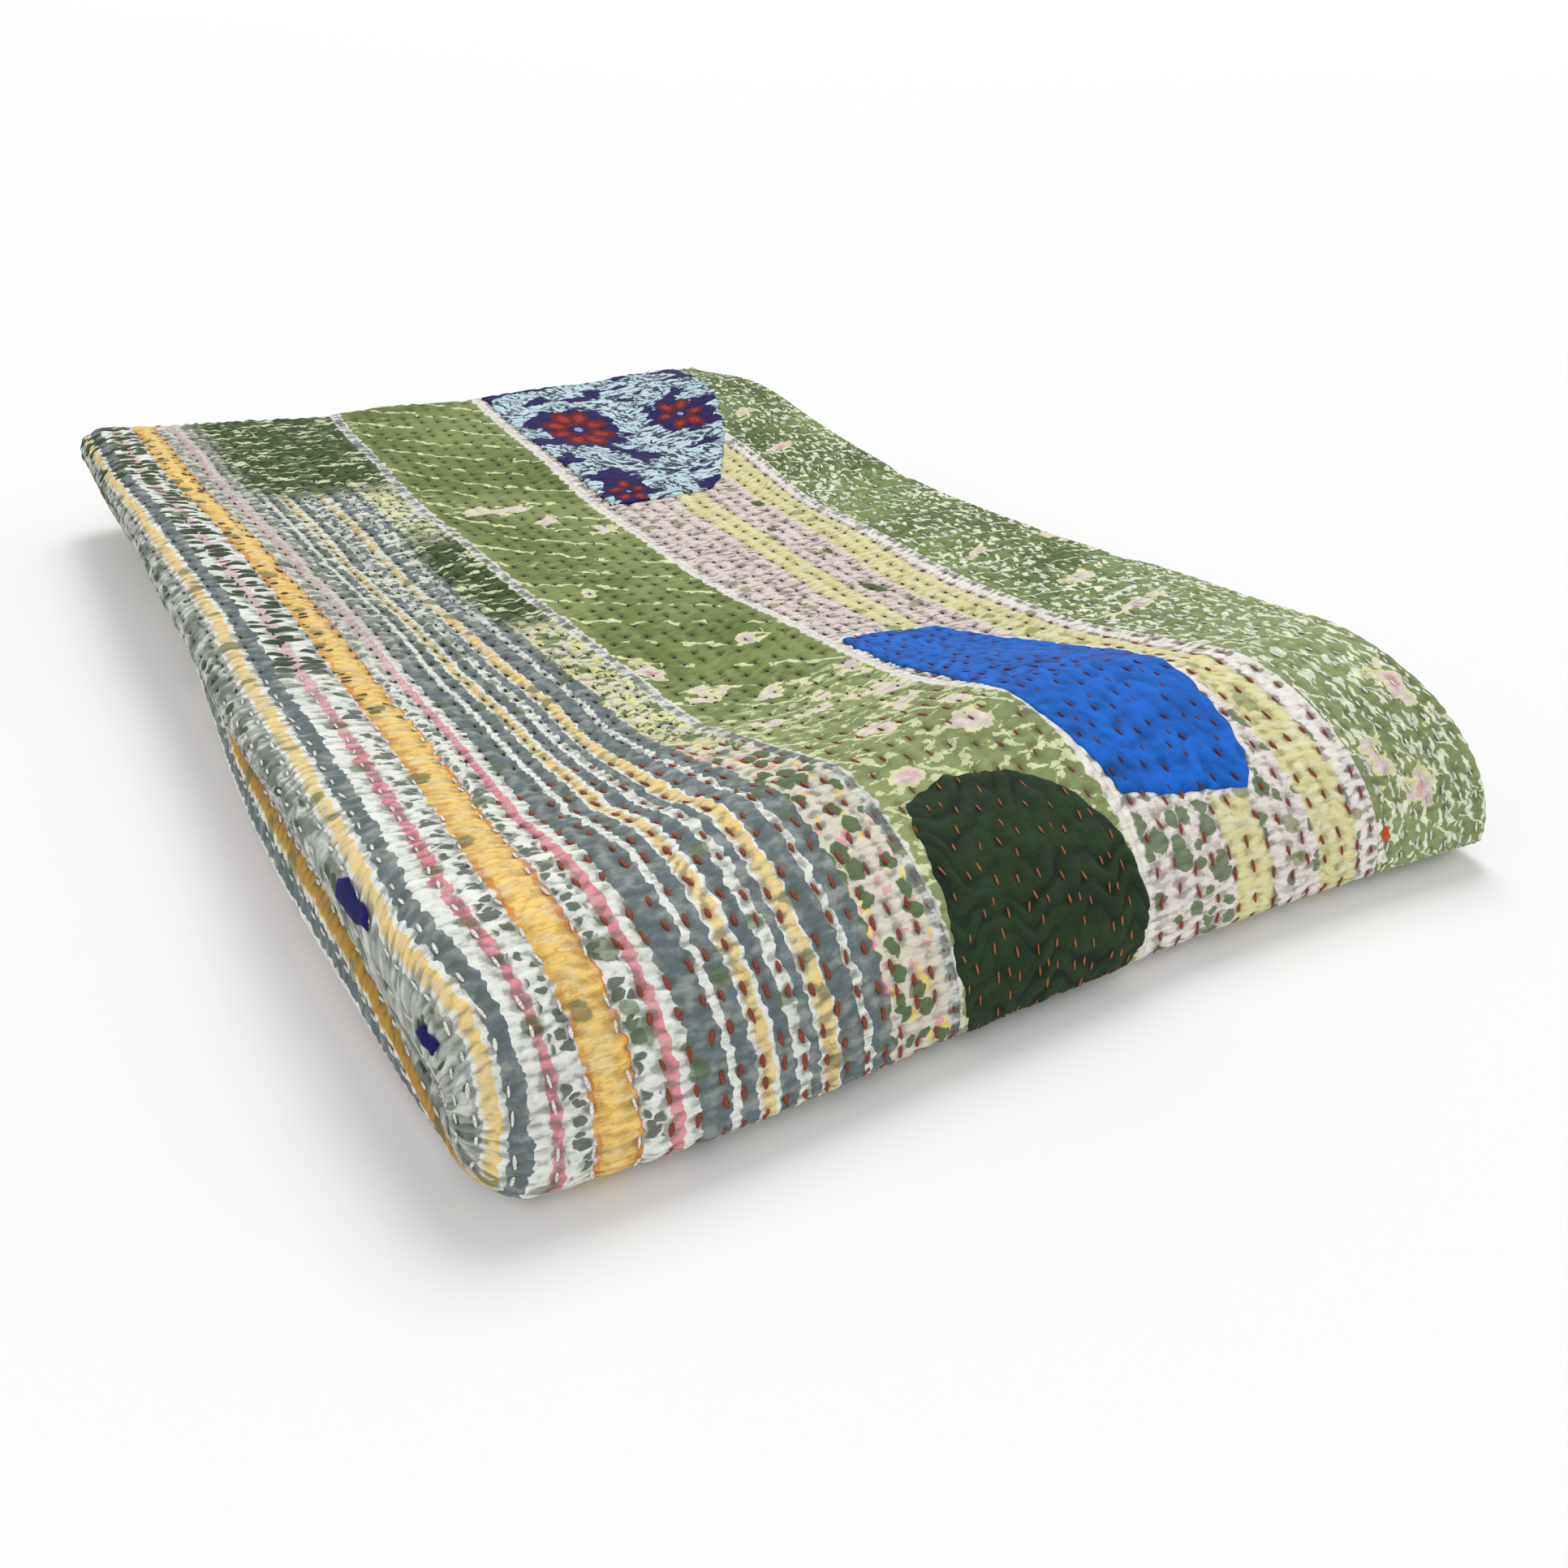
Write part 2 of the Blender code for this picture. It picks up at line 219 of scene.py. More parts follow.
def crease_line(share_across, outer_y, start, straight):
    """The crease between the halves, which every layer folds round at the front."""
    ridge = curve_through(share_across, FRONT_ROWS, 2)
    centre = curve_through(share_across, FRONT_ROWS, 3)
    ridge_height = top_height(share_across, np.zeros_like(share_across))
    centre_height = ridge_height * curve_through(share_across, FRONT_ROWS, 4)
    caught = ease((outer_y - start) / CATCH_UP)
    y = np.where(straight, outer_y + (centre - start) * (1 - caught), centre)
    share_back = np.clip((y - ridge) / (BACK - ridge), 0, 1)
    settled_part = curve_through(share_across, FRONT_ROWS, 5)
    part = settled_part + (END_PART - settled_part) * share_back
    settled = top_height(share_across, share_back) * part
    rise = ease((y - centre) / CATCH_UP)
    z = np.where(straight, centre_height + (settled - centre_height) * rise, centre_height)
    return y, z


LAYER_SLACK = 0.0014        # the inner layers don't lie evenly
LAYER_WAVE = (0.09, 0.11)


def fold(across, along):
    """World places of a grid of points of the quilt's face side, folded."""
    shape = across.shape
    across = across.ravel()
    along = along.ravel()
    x, level, face = section_point(across)
    share_across = np.clip(x / WIDTH, 0, 1)
    outer_y, outer_z, start, share_end, straight, upper = outer_line(share_across, along)
    crease_y, crease_z = crease_line(share_across, outer_y, start, straight)
    reach_y = outer_y - crease_y
    reach_z = outer_z - crease_z
    reach = np.hypot(reach_y, reach_z)
    first = CREASE_GAP / 2
    slack = LAYER_SLACK * 4 * level * (1 - level) * uneven(across / LAYER_WAVE[0], along / LAYER_WAVE[1], 2)
    out = first + level * (reach - first - SHEET) + face * SHEET + slack
    y = crease_y + reach_y / reach * out + np.where(straight, share_end * STAGGER * (1 - level), 0)
    z = crease_z + reach_z / reach * out
    low = curve_through(y, SIDE_ROWS, 2)
    left = low + (curve_through(y, SIDE_ROWS, 1) - low) * upper
    x = x + left * (1 - share_across) + curve_through(y, SIDE_ROWS, 3) * share_across
    return np.stack((x - ORIGIN[0], y - ORIGIN[1], z), axis=1).reshape(shape + (3,))


def outward(places):
    """Directions away from the face side, one for each point of a grid of places."""
    up = np.cross(np.gradient(places, axis=1), np.gradient(places, axis=0))
    return up / np.maximum(np.linalg.norm(up, axis=2, keepdims=True), 1e-12)


def new_mesh(name, shape, **settings):
    """Mesh of a basic shape."""
    bm = bmesh.new()
    shape(bm, **settings)
    mesh = bpy.data.meshes.new(name)
    bm.to_mesh(mesh)
    bm.free()
    return mesh


def new_object(name, data):
    """Object in the scene."""
    made = bpy.data.objects.new(name, data)
    bpy.context.scene.collection.objects.link(made)
    return made


def grid_piece(name, places, cloth, bake=None):
    """Mesh object from a grid of places, with the cloth's own lengths as its map."""
    rows, columns = places.shape[:2]
    mesh = new_mesh(name, bmesh.ops.create_grid, x_segments=columns - 1, y_segments=rows - 1, size=0.5)
    flat = np.empty(rows * columns * 3)
    mesh.vertices.foreach_get("co", flat)
    column = np.rint((flat[0::3] + 0.5) * (columns - 1)).astype(int)
    row = np.rint((flat[1::3] + 0.5) * (rows - 1)).astype(int)
    mesh.vertices.foreach_set("co", places[row, column].ravel())
    corner = np.empty(len(mesh.loops), dtype=int)
    mesh.loops.foreach_get("vertex_index", corner)
    mesh.uv_layers.new(name="cloth").data.foreach_set("uv", cloth[row, column][corner].ravel())
    if bake is not None:
        mesh.uv_layers.new(name="OFBake").data.foreach_set("uv", bake[row, column][corner].ravel())
    mesh.shade_smooth()
    mesh.update()
    return new_object(name, mesh), row, column


def chain(start, *stretches):
    """Marks along a chain of stretches, each a length and its number of cells."""
    places = [start]
    for length, cells in stretches:
        places.extend(places[-1] + length / cells * np.arange(1, cells + 1))
    return np.array(places)


# Dyes, wear and painted shade: every cloth is painted in layers with shader nodes. What a node
# puts out is a Signal, and reckoning with signals adds the nodes that it takes.
EDGE = 0.0008
THREAD_PITCH = 0.0009
WEAVE_RELIEF = 0.0006


def linear(red, green, blue):
    """A colour as seen, 0 to 255, in the numbers that light uses."""
    parts = (red / 255, green / 255, blue / 255)
    return tuple(v / 12.92 if v <= 0.04045 else ((v + 0.055) / 1.055) ** 2.4 for v in parts) + (1.0,)


def feed(socket, value):
    """Links a signal to a socket, or sets it to a value or to a colour as seen."""
    if isinstance(value, Signal):
        socket.id_data.links.new(value.socket, socket)
    elif socket.type == "RGBA" and len(value) == 3:
        socket.default_value = linear(*value)
    else:
        socket.default_value = value


def signals(node):
    """What a node puts out, by number and by name."""
    return {key: Signal(socket) for number, socket in enumerate(node.outputs)
            for key in (number, socket.name)}


def add(tree, kind, inputs=(), **settings):
    """Adds a node, set up and fed, and gives what it puts out."""
    node = tree.nodes.new(kind)
    for name, value in settings.items():
        setattr(node, name, value)
    for key, value in dict(inputs).items():
        feed(node.inputs[key], value)
    return signals(node)


class Signal:
    """A number, colour or place that a shader node puts out."""

    def __init__(self, socket):
        self.socket = socket
        self.tree = socket.id_data

    def maths(self, operation, *others):
        return add(self.tree, "ShaderNodeMath", enumerate((self,) + others), operation=operation)[0]

    def vector(self, operation, *others):
        values = enumerate((self,) + others)
        return add(self.tree, "ShaderNodeVectorMath", values, operation=operation)[0]

    def __add__(self, other):
        return self.maths("ADD", other)

    def __sub__(self, other):
        return self.maths("SUBTRACT", other)

    def __rsub__(self, other):
        return add(self.tree, "ShaderNodeMath", {0: other, 1: self}, operation="SUBTRACT")[0]

    def __mul__(self, other):
        return self.maths("MULTIPLY", other)

    def __or__(self, other):
        return self.maths("MAXIMUM", other)

    def __abs__(self):
        return self.maths("ABSOLUTE")

    def step(self, low, high):
        """0 below low, 1 above high, soft between; low over high turns it round."""
        return add(self.tree, "ShaderNodeMapRange", {"Value": self, "From Min": low, "From Max": high},
                   interpolation_type="SMOOTHSTEP")["Result"]

    def between(self, low, high, soft=EDGE):
        """1 between low and high, soft at both ends."""
        return self.step(low - soft, low + soft) * self.step(high + soft, high - soft)

    def parts(self, kind="ShaderNodeSeparateXYZ"):
        made = add(self.tree, kind, {0: self})
        return made[0], made[1]

    def noise(self, across, along, detail=2.0, output="Fac"):
        """Noise with a number of features a metre across and along the cloth."""
        stretched = self.vector("MULTIPLY", (across, along, 1.0))
        return add(self.tree, "ShaderNodeTexNoise", {"Vector": stretched, "Scale": 1.0, "Detail": detail},
                   noise_dimensions="2D")[output]

    def through(self, group, **values):
        """What a group makes of a place, given its own values."""
        return add(self.tree, "ShaderNodeGroup", {"Place": self, **values}, node_tree=group)[0]


def new_group(name, inputs, outputs):
    """Shader node group that reads a place, with what it is given and what it puts out."""
    group = bpy.data.node_groups.new(name, "ShaderNodeTree")
    group.interface.new_socket("Place", in_out="INPUT", socket_type="NodeSocketVector")
    for socket, value in inputs:
        made = group.interface.new_socket(socket, in_out="INPUT", socket_type="NodeSocketFloat")
        made.default_value = value
    for socket, kind in outputs:
        group.interface.new_socket(socket, in_out="OUTPUT", socket_type=kind)
    given = signals(group.nodes.new("NodeGroupInput"))
    return group, given, given["Place"], group.nodes.new("NodeGroupOutput").inputs


def cotton_stains_and_shade():
    """Weave, fine crinkles across the rows of stitches, faint stains, and painted shade where the crinkles
    and the gathered cloth lie low.
    """
    group, given, place, put = new_group("cotton_stains_and_shade", (("Crinkle", 1.0), ("Crest", 1.0)),
                                         (("Height", "NodeSocketFloat"), ("Shade", "NodeSocketFloat")))
    over, up = place.parts()
    threads = 2 * math.pi / THREAD_PITCH
    weave = (over * threads).maths("SINE") * (up * threads).maths("SINE")
    crinkle = place.noise(110.0, 420.0, 3.0)
    slub = place.noise(900.0, 1600.0)
    stain = place.noise(26.0, 22.0, 3.0)
    feed(put["Height"], weave * 0.06 + crinkle * given["Crinkle"] + slub * 0.25)
    # painted shade: darker where the crinkles lie low and where the given crest is low
    shade = crinkle.step(0.25, 0.6) * 0.16 + stain * 0.18 + slub * 0.14
    feed(put["Shade"], shade + (given["Crest"] * 0.30 + 0.44))
    return group


def ragged():
    """Place shifted to and fro a little, for the torn edges of worn colours."""
    group, given, place, put = new_group("ragged", (("Reach", 0.001),), (("Place", "NodeSocketVector"),))
    centre = (0.5, 0.5, 0.5)
    slow = place.noise(80.0, 190.0, 1.0, "Color").vector("SUBTRACT", centre)
    quick = place.noise(520.0, 420.0, 2.0, "Color").vector("SUBTRACT", centre)
    both = slow.vector("MULTIPLY_ADD", (2.6, 2.6, 0.0), quick)
    shift = add(group, "ShaderNodeVectorMath", {0: both, "Scale": given["Reach"]}, operation="SCALE")[0]
    feed(put["Place"], place.vector("ADD", shift))
    return group


def ovals():
    """Scattered ovals where the top layer is worn through."""
    group, given, place, put = new_group(
        "ovals", (("Across", 150.0), ("Along", 150.0), ("Size", 0.35), ("Share", 0.5)),
        (("Mask", "NodeSocketFloat"),))
    scale = add(group, "ShaderNodeCombineXYZ", {0: given["Across"], 1: given["Along"]})[0]
    cells = add(group, "ShaderNodeTexVoronoi",
                {"Vector": place.vector("MULTIPLY", scale), "Scale": 1.0, "Randomness": 0.8},
                voronoi_dimensions="2D")
    chance, spread = cells["Color"].parts("ShaderNodeSeparateColor")
    near = given["Size"] * (spread * 0.8 + 0.55) - cells["Distance"]
    feed(put["Mask"], near.step(0.0, 0.08) * chance.maths("LESS_THAN", given["Share"]))
    return group


COTTON_STAINS_AND_SHADE = cotton_stains_and_shade()
RAGGED = ragged()
OVALS = ovals()


def new_material(name, settings):
    """Material with what is set in its shader, and that shader's inputs."""
    material = bpy.data.materials.new(name)
    material.use_nodes = True
    shader = material.node_tree.nodes["Principled BSDF"]
    for socket, value in settings.items():
        shader.inputs[socket].default_value = value
    return material, shader.inputs


class Cloth:
    """Material of a cloth: a ground colour with others laid over it in turn."""

    def __init__(self, name, roughness, ground=None):
        self.material, self.shader = new_material(
            name, {"Roughness": roughness, "Specular IOR Level": 0.20, "Sheen Weight": 0.05})
        self.tree = self.material.node_tree
        self.place = add(self.tree, "ShaderNodeUVMap", uv_map="cloth")[0]
        self.colour = ground

    def mixed(self, share, first, second, way="MIX"):
        return add(self.tree, "ShaderNodeMix", {0: share, 6: first, 7: second}, data_type="RGBA",
                   blend_type=way)[2]

    def lay(self, mask, colour):
        """Lays a colour over the others where the mask is 1."""
        self.colour = self.mixed(mask, self.colour, colour)

    def lay_ovals(self, place, zone, across, along, size, share, colour):
        """Lays ovals of a colour in a zone, with a number of them a metre each way."""
        spots = place.through(OVALS, Across=across, Along=along, Size=size, Share=share)
        self.lay(spots * zone, colour)

    def ragged(self, reach):
        return self.place.through(RAGGED, Reach=reach)

    def stored(self, name):
        """A number stored on the mesh."""
        return add(self.tree, "ShaderNodeAttribute", attribute_name=name)["Fac"]

    def crest(self, tear=0.7):
        """How high a point of the gathered cloth lies, from 0 to 1, roughened by noise; the cloths lay
        painted shade where it is low.
        """
        rough = self.place.noise(230.0, 380.0, 3.0) - 0.5
        return add(self.tree, "ShaderNodeClamp", {0: self.stored("crest") + rough * (2.0 * tear)})[0]

    def finish(self, crest=1.0, crinkle=1.0):
        """Shades the colour with faint stains and with painted shade where the cloth lies low, and gives it
        the weave's height.
        """
        cotton = add(self.tree, "ShaderNodeGroup", {"Place": self.place, "Crinkle": crinkle, "Crest": crest},
                     node_tree=COTTON_STAINS_AND_SHADE)
        shade = add(self.tree, "ShaderNodeCombineColor", enumerate((cotton["Shade"],) * 3))[0]
        feed(self.shader["Base Color"], self.mixed(1.0, self.colour, shade, "MULTIPLY"))
        bump = add(self.tree, "ShaderNodeBump", {"Height": cotton["Height"], "Distance": WEAVE_RELIEF,
                                                 "Strength": 1.0})[0]
        feed(self.shader["Normal"], bump)
        return self.material


WHITE = (234, 237, 229)
# grey of the border where it turns into the crease: a painted shade
CREASE_SHADE = (172, 178, 168)
SAGE = (128, 148, 96)
DEEP_GREEN = (60, 76, 40)
GREY_BLUE = (103, 116, 120)
YELLOW = (244, 208, 120)
ORANGE = (224, 144, 72)
PINK = (228, 144, 156)
CREAM = (222, 216, 196)
LEMON = (222, 217, 152)
ROSE = (226, 212, 206)


# The body of the sheet: the inner layers, the hems and the reverse. Its face lies a little
# below the face cloth where that covers it, and its hems are turned in and pinched thin.
COVER_DEPTH = 0.0023
COVERED = (0.415, 0.950)
HEM_ROUND = 0.0035
HEM_WAVE = 0.0012
HEM_WAVES = (0.02, 0.3)
PINCHED = 0.0012
COVER_EDGE = 0.006
OPEN_END = 0.05
END_WAVE_SHARE = 0.25
PINCH_SHARE = 0.9

# Columns: start across and along, end across and along, half width, height (sunk if negative)
CREASE_ROWS = (
    (0.512, 0.858, 0.600, 0.826, 0.007, -0.0022),
    (0.548, 0.832, 0.640, 0.812, 0.005, -0.0016),
    (0.452, 0.742, 0.480, 0.760, 0.004, -0.0026),
    (0.470, 0.700, 0.456, 0.745, 0.004, -0.0018),
    (0.600, 0.900, 0.690, 0.870, 0.008, -0.0014),
    (0.700, 1.020, 0.800, 0.985, 0.010, -0.0012),
    (0.500, 1.120, 0.600, 1.160, 0.010, -0.0012),
    (0.620, 1.180, 0.730, 1.150, 0.009, -0.0012),
    (0.860, 0.900, 0.945, 0.960, 0.009, -0.0014),
    (0.850, 1.110, 0.940, 1.140, 0.009, -0.0014),
)


def creases(across, along):
    """The main creases of the folded quilt, as soft troughs."""
    height = np.zeros_like(across)
    for x0, y0, x1, y1, half, rise in CREASE_ROWS:
        run = math.hypot(x1 - x0, y1 - y0)
        down = ((across - x0) * (x1 - x0) + (along - y0) * (y1 - y0)) / run
        aside = ((across - x0) * (y1 - y0) - (along - y0) * (x1 - x0)) / run
        taper = ease(down / run * 3) * ease((1 - down / run) * 3)
        height += rise * np.exp(-(aside / half) ** 2) * taper
    return height


across_marks = chain(0.0, (0.012, 4), (0.404, 32), (0.076, 16), (0.414, 50), (0.030, 8),
                     (0.414, 32), (0.020, 6), (0.408, 32), (0.012, 4))
along_marks = chain(0.0, (0.004, 3), (0.036, 8), (0.580, 36), (0.220, 34), (0.525, 40),
                    (0.036, 8), (0.004, 3))
across, along = np.meshgrid(across_marks, along_marks)
from_hem = np.minimum(np.minimum(across, SECTION_ENDS[-1] - across), np.minimum(along, ALONG - along))
pinch = 1 - np.sqrt(1 - np.clip(1 - from_hem / HEM_ROUND, 0, 1) ** 2)
covered = ease((across - COVERED[0]) / COVER_EDGE) * ease((COVERED[1] - across) / COVER_EDGE)
depth = np.maximum(COVER_DEPTH * covered, PINCHED * pinch)
wave = HEM_WAVE * uneven(across / HEM_WAVES[0], along / HEM_WAVES[1], 11)
end = ease(1 - np.minimum(along, ALONG - along) / OPEN_END)
sunk = depth + END_WAVE_SHARE * np.abs(wave) * end * (1 - covered) - creases(across, along) * covered
places = fold(across, along)
places -= outward(places) * sunk[..., None]
places[..., 1] += (wave - HEM_WAVE) * end
places[..., 2] = np.maximum(places[..., 2], 0.0)
cloth = np.stack((across, along), axis=2)
quilt_body, row, column = grid_piece("quilt_body", places, cloth)
wall = 1 - (depth + PINCH_SHARE * PINCHED * pinch) / SHEET
group = quilt_body.vertex_groups.new(name="wall")
levels = np.round(wall[row, column], 2)
for value in np.unique(levels):
    group.add(np.flatnonzero(levels == value).tolist(), float(value), "REPLACE")
solid = quilt_body.modifiers.new("wall", "SOLIDIFY")
solid.thickness = SHEET
solid.offset = -1.0
solid.vertex_group = "wall"
solid.material_offset = 1
solid.material_offset_rim = 1


def face_print():
    """Green print of the inner layers."""
    cloth = Cloth("inner_print", 0.92, SAGE)
    cloth.lay_ovals(cloth.ragged(0.002), 1.0, 60.0, 110.0, 0.42, 0.45, CREAM)
    return cloth.finish()


def reverse_cloth():
    """Reverse of the quilt and its turned hems: faded cream with rust stains of old cloth."""
    cloth = Cloth("reverse_cloth", 0.92, CREAM)
    cloth.lay(cloth.ragged(0.003).noise(60.0, 60.0, 3.0).step(0.52, 0.62), (168, 120, 96))
    return cloth.finish()


quilt_body.data.materials.append(face_print())
quilt_body.data.materials.append(reverse_cloth())
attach(quilt_body, "root")
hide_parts("quilt")

# Sewing: rows of running stitch run the length of the quilt, and draw the face cloth into
# little hollows, with soft ripples across the rows where the thread has gathered it.
# The face cloth's print has drifted off the straight, so its places are named by where they
# were printed. Columns: along, then where across each line of the print lies there.
PRINT_LINES = (0.420, 0.468, 0.506, 0.580, 0.632, 0.727, 0.777, 0.821, 0.843, 0.906, 0.950)
DRIFT_ROWS = (
    (0.00, 0.400, 0.443, 0.490, 0.572, 0.630, 0.722, 0.777, 0.821, 0.843, 0.906, 0.950),
    (0.50, 0.395, 0.441, 0.488, 0.572, 0.630, 0.720, 0.776, 0.821, 0.843, 0.906, 0.950),
    (0.62, 0.398, 0.445, 0.494, 0.575, 0.630, 0.718, 0.776, 0.822, 0.843, 0.906, 0.950),
    (0.70, 0.418, 0.465, 0.502, 0.576, 0.629, 0.717, 0.775, 0.822, 0.843, 0.906, 0.950),
    (0.76, 0.424, 0.472, 0.506, 0.579, 0.632, 0.730, 0.776, 0.822, 0.847, 0.906, 0.950),
    (0.80, 0.420, 0.466, 0.506, 0.583, 0.636, 0.737, 0.780, 0.824, 0.850, 0.906, 0.950),
    (0.85, 0.422, 0.470, 0.512, 0.579, 0.632, 0.727, 0.778, 0.827, 0.846, 0.906, 0.950),
    (0.90, 0.423, 0.472, 0.517, 0.580, 0.629, 0.731, 0.777, 0.824, 0.839, 0.906, 0.950),
    (0.95, 0.424, 0.474, 0.519, 0.585, 0.633, 0.729, 0.777, 0.821, 0.840, 0.906, 0.950),
    (1.00, 0.424, 0.474, 0.519, 0.580, 0.631, 0.725, 0.777, 0.821, 0.841, 0.906, 0.950),
    (1.10, 0.424, 0.474, 0.516, 0.576, 0.625, 0.721, 0.780, 0.828, 0.843, 0.906, 0.950),
    (1.20, 0.420, 0.468, 0.510, 0.572, 0.620, 0.723, 0.784, 0.835, 0.851, 0.906, 0.950),
    (1.30, 0.418, 0.465, 0.503, 0.568, 0.622, 0.726, 0.786, 0.836, 0.852, 0.906, 0.950),
    (1.405, 0.416, 0.463, 0.500, 0.566, 0.626, 0.727, 0.786, 0.836, 0.852, 0.906, 0.950),
)


def lines_at(along):
    """Where across the print's lines lie, a row for each place along."""
    return np.stack([curve_through(along, DRIFT_ROWS, 1 + i) for i in range(len(PRINT_LINES))], axis=1)


def printed_place(across, along_marks):
    """Where the points of a grid were printed."""
    return np.array([np.interp(line, lines, PRINT_LINES)
                     for line, lines in zip(across, lines_at(along_marks))])


def across_of(printed, along):
    """Where across the printed places lie."""
    return np.array([np.interp(place, PRINT_LINES, lines)
                     for place, lines in zip(printed, lines_at(along))])


STITCH_ROWS = np.array(
    [0.4130, 0.4215, 0.4300, 0.4385, 0.4470, 0.4555, 0.4635, 0.4745, 0.4865, 0.4985, 0.5125, 0.5230,
     0.5320, 0.5410, 0.5480, 0.5560, 0.5630, 0.5700, 0.5780, 0.5860, 0.5940, 0.6010, 0.6080, 0.6155,
     0.6230, 0.6300] + [0.6410 + 0.0095 * i for i in range(9)]
    + [0.7335 + 0.0089 * i for i in range(12)] + [0.8400] + [0.8485 + 0.0090 * i for i in range(12)])
STITCH_PERIOD = 0.0125
STITCH_HALF = 0.0026
STITCH_WANDER = 0.16
WANDER_STEPS = (12.9898, 78.233)        # a row, and a stitch of a row
ROW_WOBBLE = 0.0011
WOBBLE_LENGTHS = (0.026, 0.012)
ROW_STARTS = np.random.default_rng(7).uniform(0, STITCH_PERIOD, len(STITCH_ROWS))
DEEPEST = COVER_DEPTH - 0.0003
HOLLOW_SHARPNESS = 2.4
RIPPLE_SHARPNESS = 1.3
BETWEEN_STITCHES = 0.30
FULL_DEPTH = 0.55
# Columns: how much, over which lengths printed and along, start
RIPPLE_WANDER = (0.9, 0.010, 0.028, 5)
RIPPLE_SWAY = (0.6, 0.05, 0.02, 6)
RIPPLE_PATCHES = (0.30, 0.014, 0.018, 8)


def stitch_centre(stitch_row, number):
    """Where along a row its numbered stitch lies."""
    phase = WANDER_STEPS[0] * stitch_row + WANDER_STEPS[1] * number
    wander = STITCH_WANDER * np.sin(phase)
    return ROW_STARTS[stitch_row] + STITCH_PERIOD * (number + wander)


def row_wobble(printed, along):
    return ROW_WOBBLE * uneven(along / WOBBLE_LENGTHS[0], printed / WOBBLE_LENGTHS[1], 3)


def unsteady(printed, along, table_row):
    """Unevenness of a size, over lengths printed and along."""
    size, length_printed, length_along, start = table_row
    return size * uneven(printed / length_printed, along / length_along, start)


def gathered(printed, along, ripple, depth, hollow):
    """Relief of the face cloth, all inwards, from its ripples and the hollows at its stitches,
    and how near its crest each point is."""
    place = printed + row_wobble(printed, along)
    after = np.clip(np.searchsorted(STITCH_ROWS, place), 1, len(STITCH_ROWS) - 1)
    t = np.clip((place - STITCH_ROWS[after - 1]) / (STITCH_ROWS[after] - STITCH_ROWS[after - 1]), 0, 1)
    nearest = np.where(t > 0.5, after, after - 1)
    number = np.rint((along - ROW_STARTS[nearest]) / STITCH_PERIOD)
    from_stitch = along - stitch_centre(nearest, number)
    pulled = np.exp(-(from_stitch / STITCH_HALF) ** 2)
    row_hollow = np.abs(np.cos(math.pi * t)) ** HOLLOW_SHARPNESS
    phase = along / ripple + unsteady(printed, along, RIPPLE_WANDER)
    phase = phase + unsteady(printed, along, RIPPLE_SWAY)
    rise = 0.5 + 0.5 * np.cos(2 * math.pi * phase)
    patchy = 1 - RIPPLE_PATCHES[0] + unsteady(printed, along, RIPPLE_PATCHES)
    at_row = hollow * row_hollow * (BETWEEN_STITCHES + (1 - BETWEEN_STITCHES) * pulled)
    sunk = at_row + 2 * depth * patchy * (1 - rise) ** RIPPLE_SHARPNESS
    crest = 1 - np.clip(sunk / (FULL_DEPTH * hollow + 2 * depth), 0, 1)
    return -np.minimum(sunk, DEEPEST), crest


# Outlines of the patches on the quilt, anticlockwise: across, along
FLORAL_OUTLINE = (
    (0.733, 1.405), (0.731, 1.181), (0.762, 1.178), (0.798, 1.182), (0.818, 1.202),
    (0.852, 1.258), (0.880, 1.325), (0.892, 1.405),
)
BLUE_OUTLINE = (
    (0.737, 0.930), (0.734, 0.756), (0.765, 0.748), (0.788, 0.746), (0.799, 0.758),
    (0.808, 0.785), (0.824, 0.842), (0.814, 0.884), (0.790, 0.928),
)
DARK_GREEN_OUTLINE = (
    (0.645, 0.780), (0.636, 0.752), (0.630, 0.722), (0.634, 0.675), (0.696, 0.675), (0.714, 0.698),
    (0.722, 0.720), (0.722, 0.748), (0.712, 0.766), (0.694, 0.778), (0.668, 0.786),
)
PATCH_SEAT = 0.0010         # the face cloth is pressed down under a patch


def inside(outline, across, along):
    """Distance inside a convex outline, less than 0 outside it."""
    nearest = np.full(np.shape(across), 1.0)
    for (x0, y0), (x1, y1) in zip(outline, outline[1:] + outline[:1]):
        length = math.hypot(x1 - x0, y1 - y0)
        nearest = np.minimum(nearest, ((x1 - x0) * (along - y0) - (y1 - y0) * (across - x0)) / length)
    return nearest


def store(piece, name, values):
    """Keeps a number for each vertex of a piece, for its material."""
    piece.data.attributes.new(name, "FLOAT", "POINT").data.foreach_set("value", values.ravel())


SEAM_RIDGE = 0.0022
RIDGE_SHARE = 0.7
RIDGE_PLACE = 0.0012
SEAT_SLOPE = 0.004
SKIRT = 0.0018
MAP_MARGIN = (0.002, 0.998)


def widened(table, sides):
    """A grid of points with its ends, and the sides asked for, given once more."""
    before, after = sides
    return np.pad(table, ((1, 1), (int(before), int(after))) + ((0, 0),) * (table.ndim - 2), mode="edge")


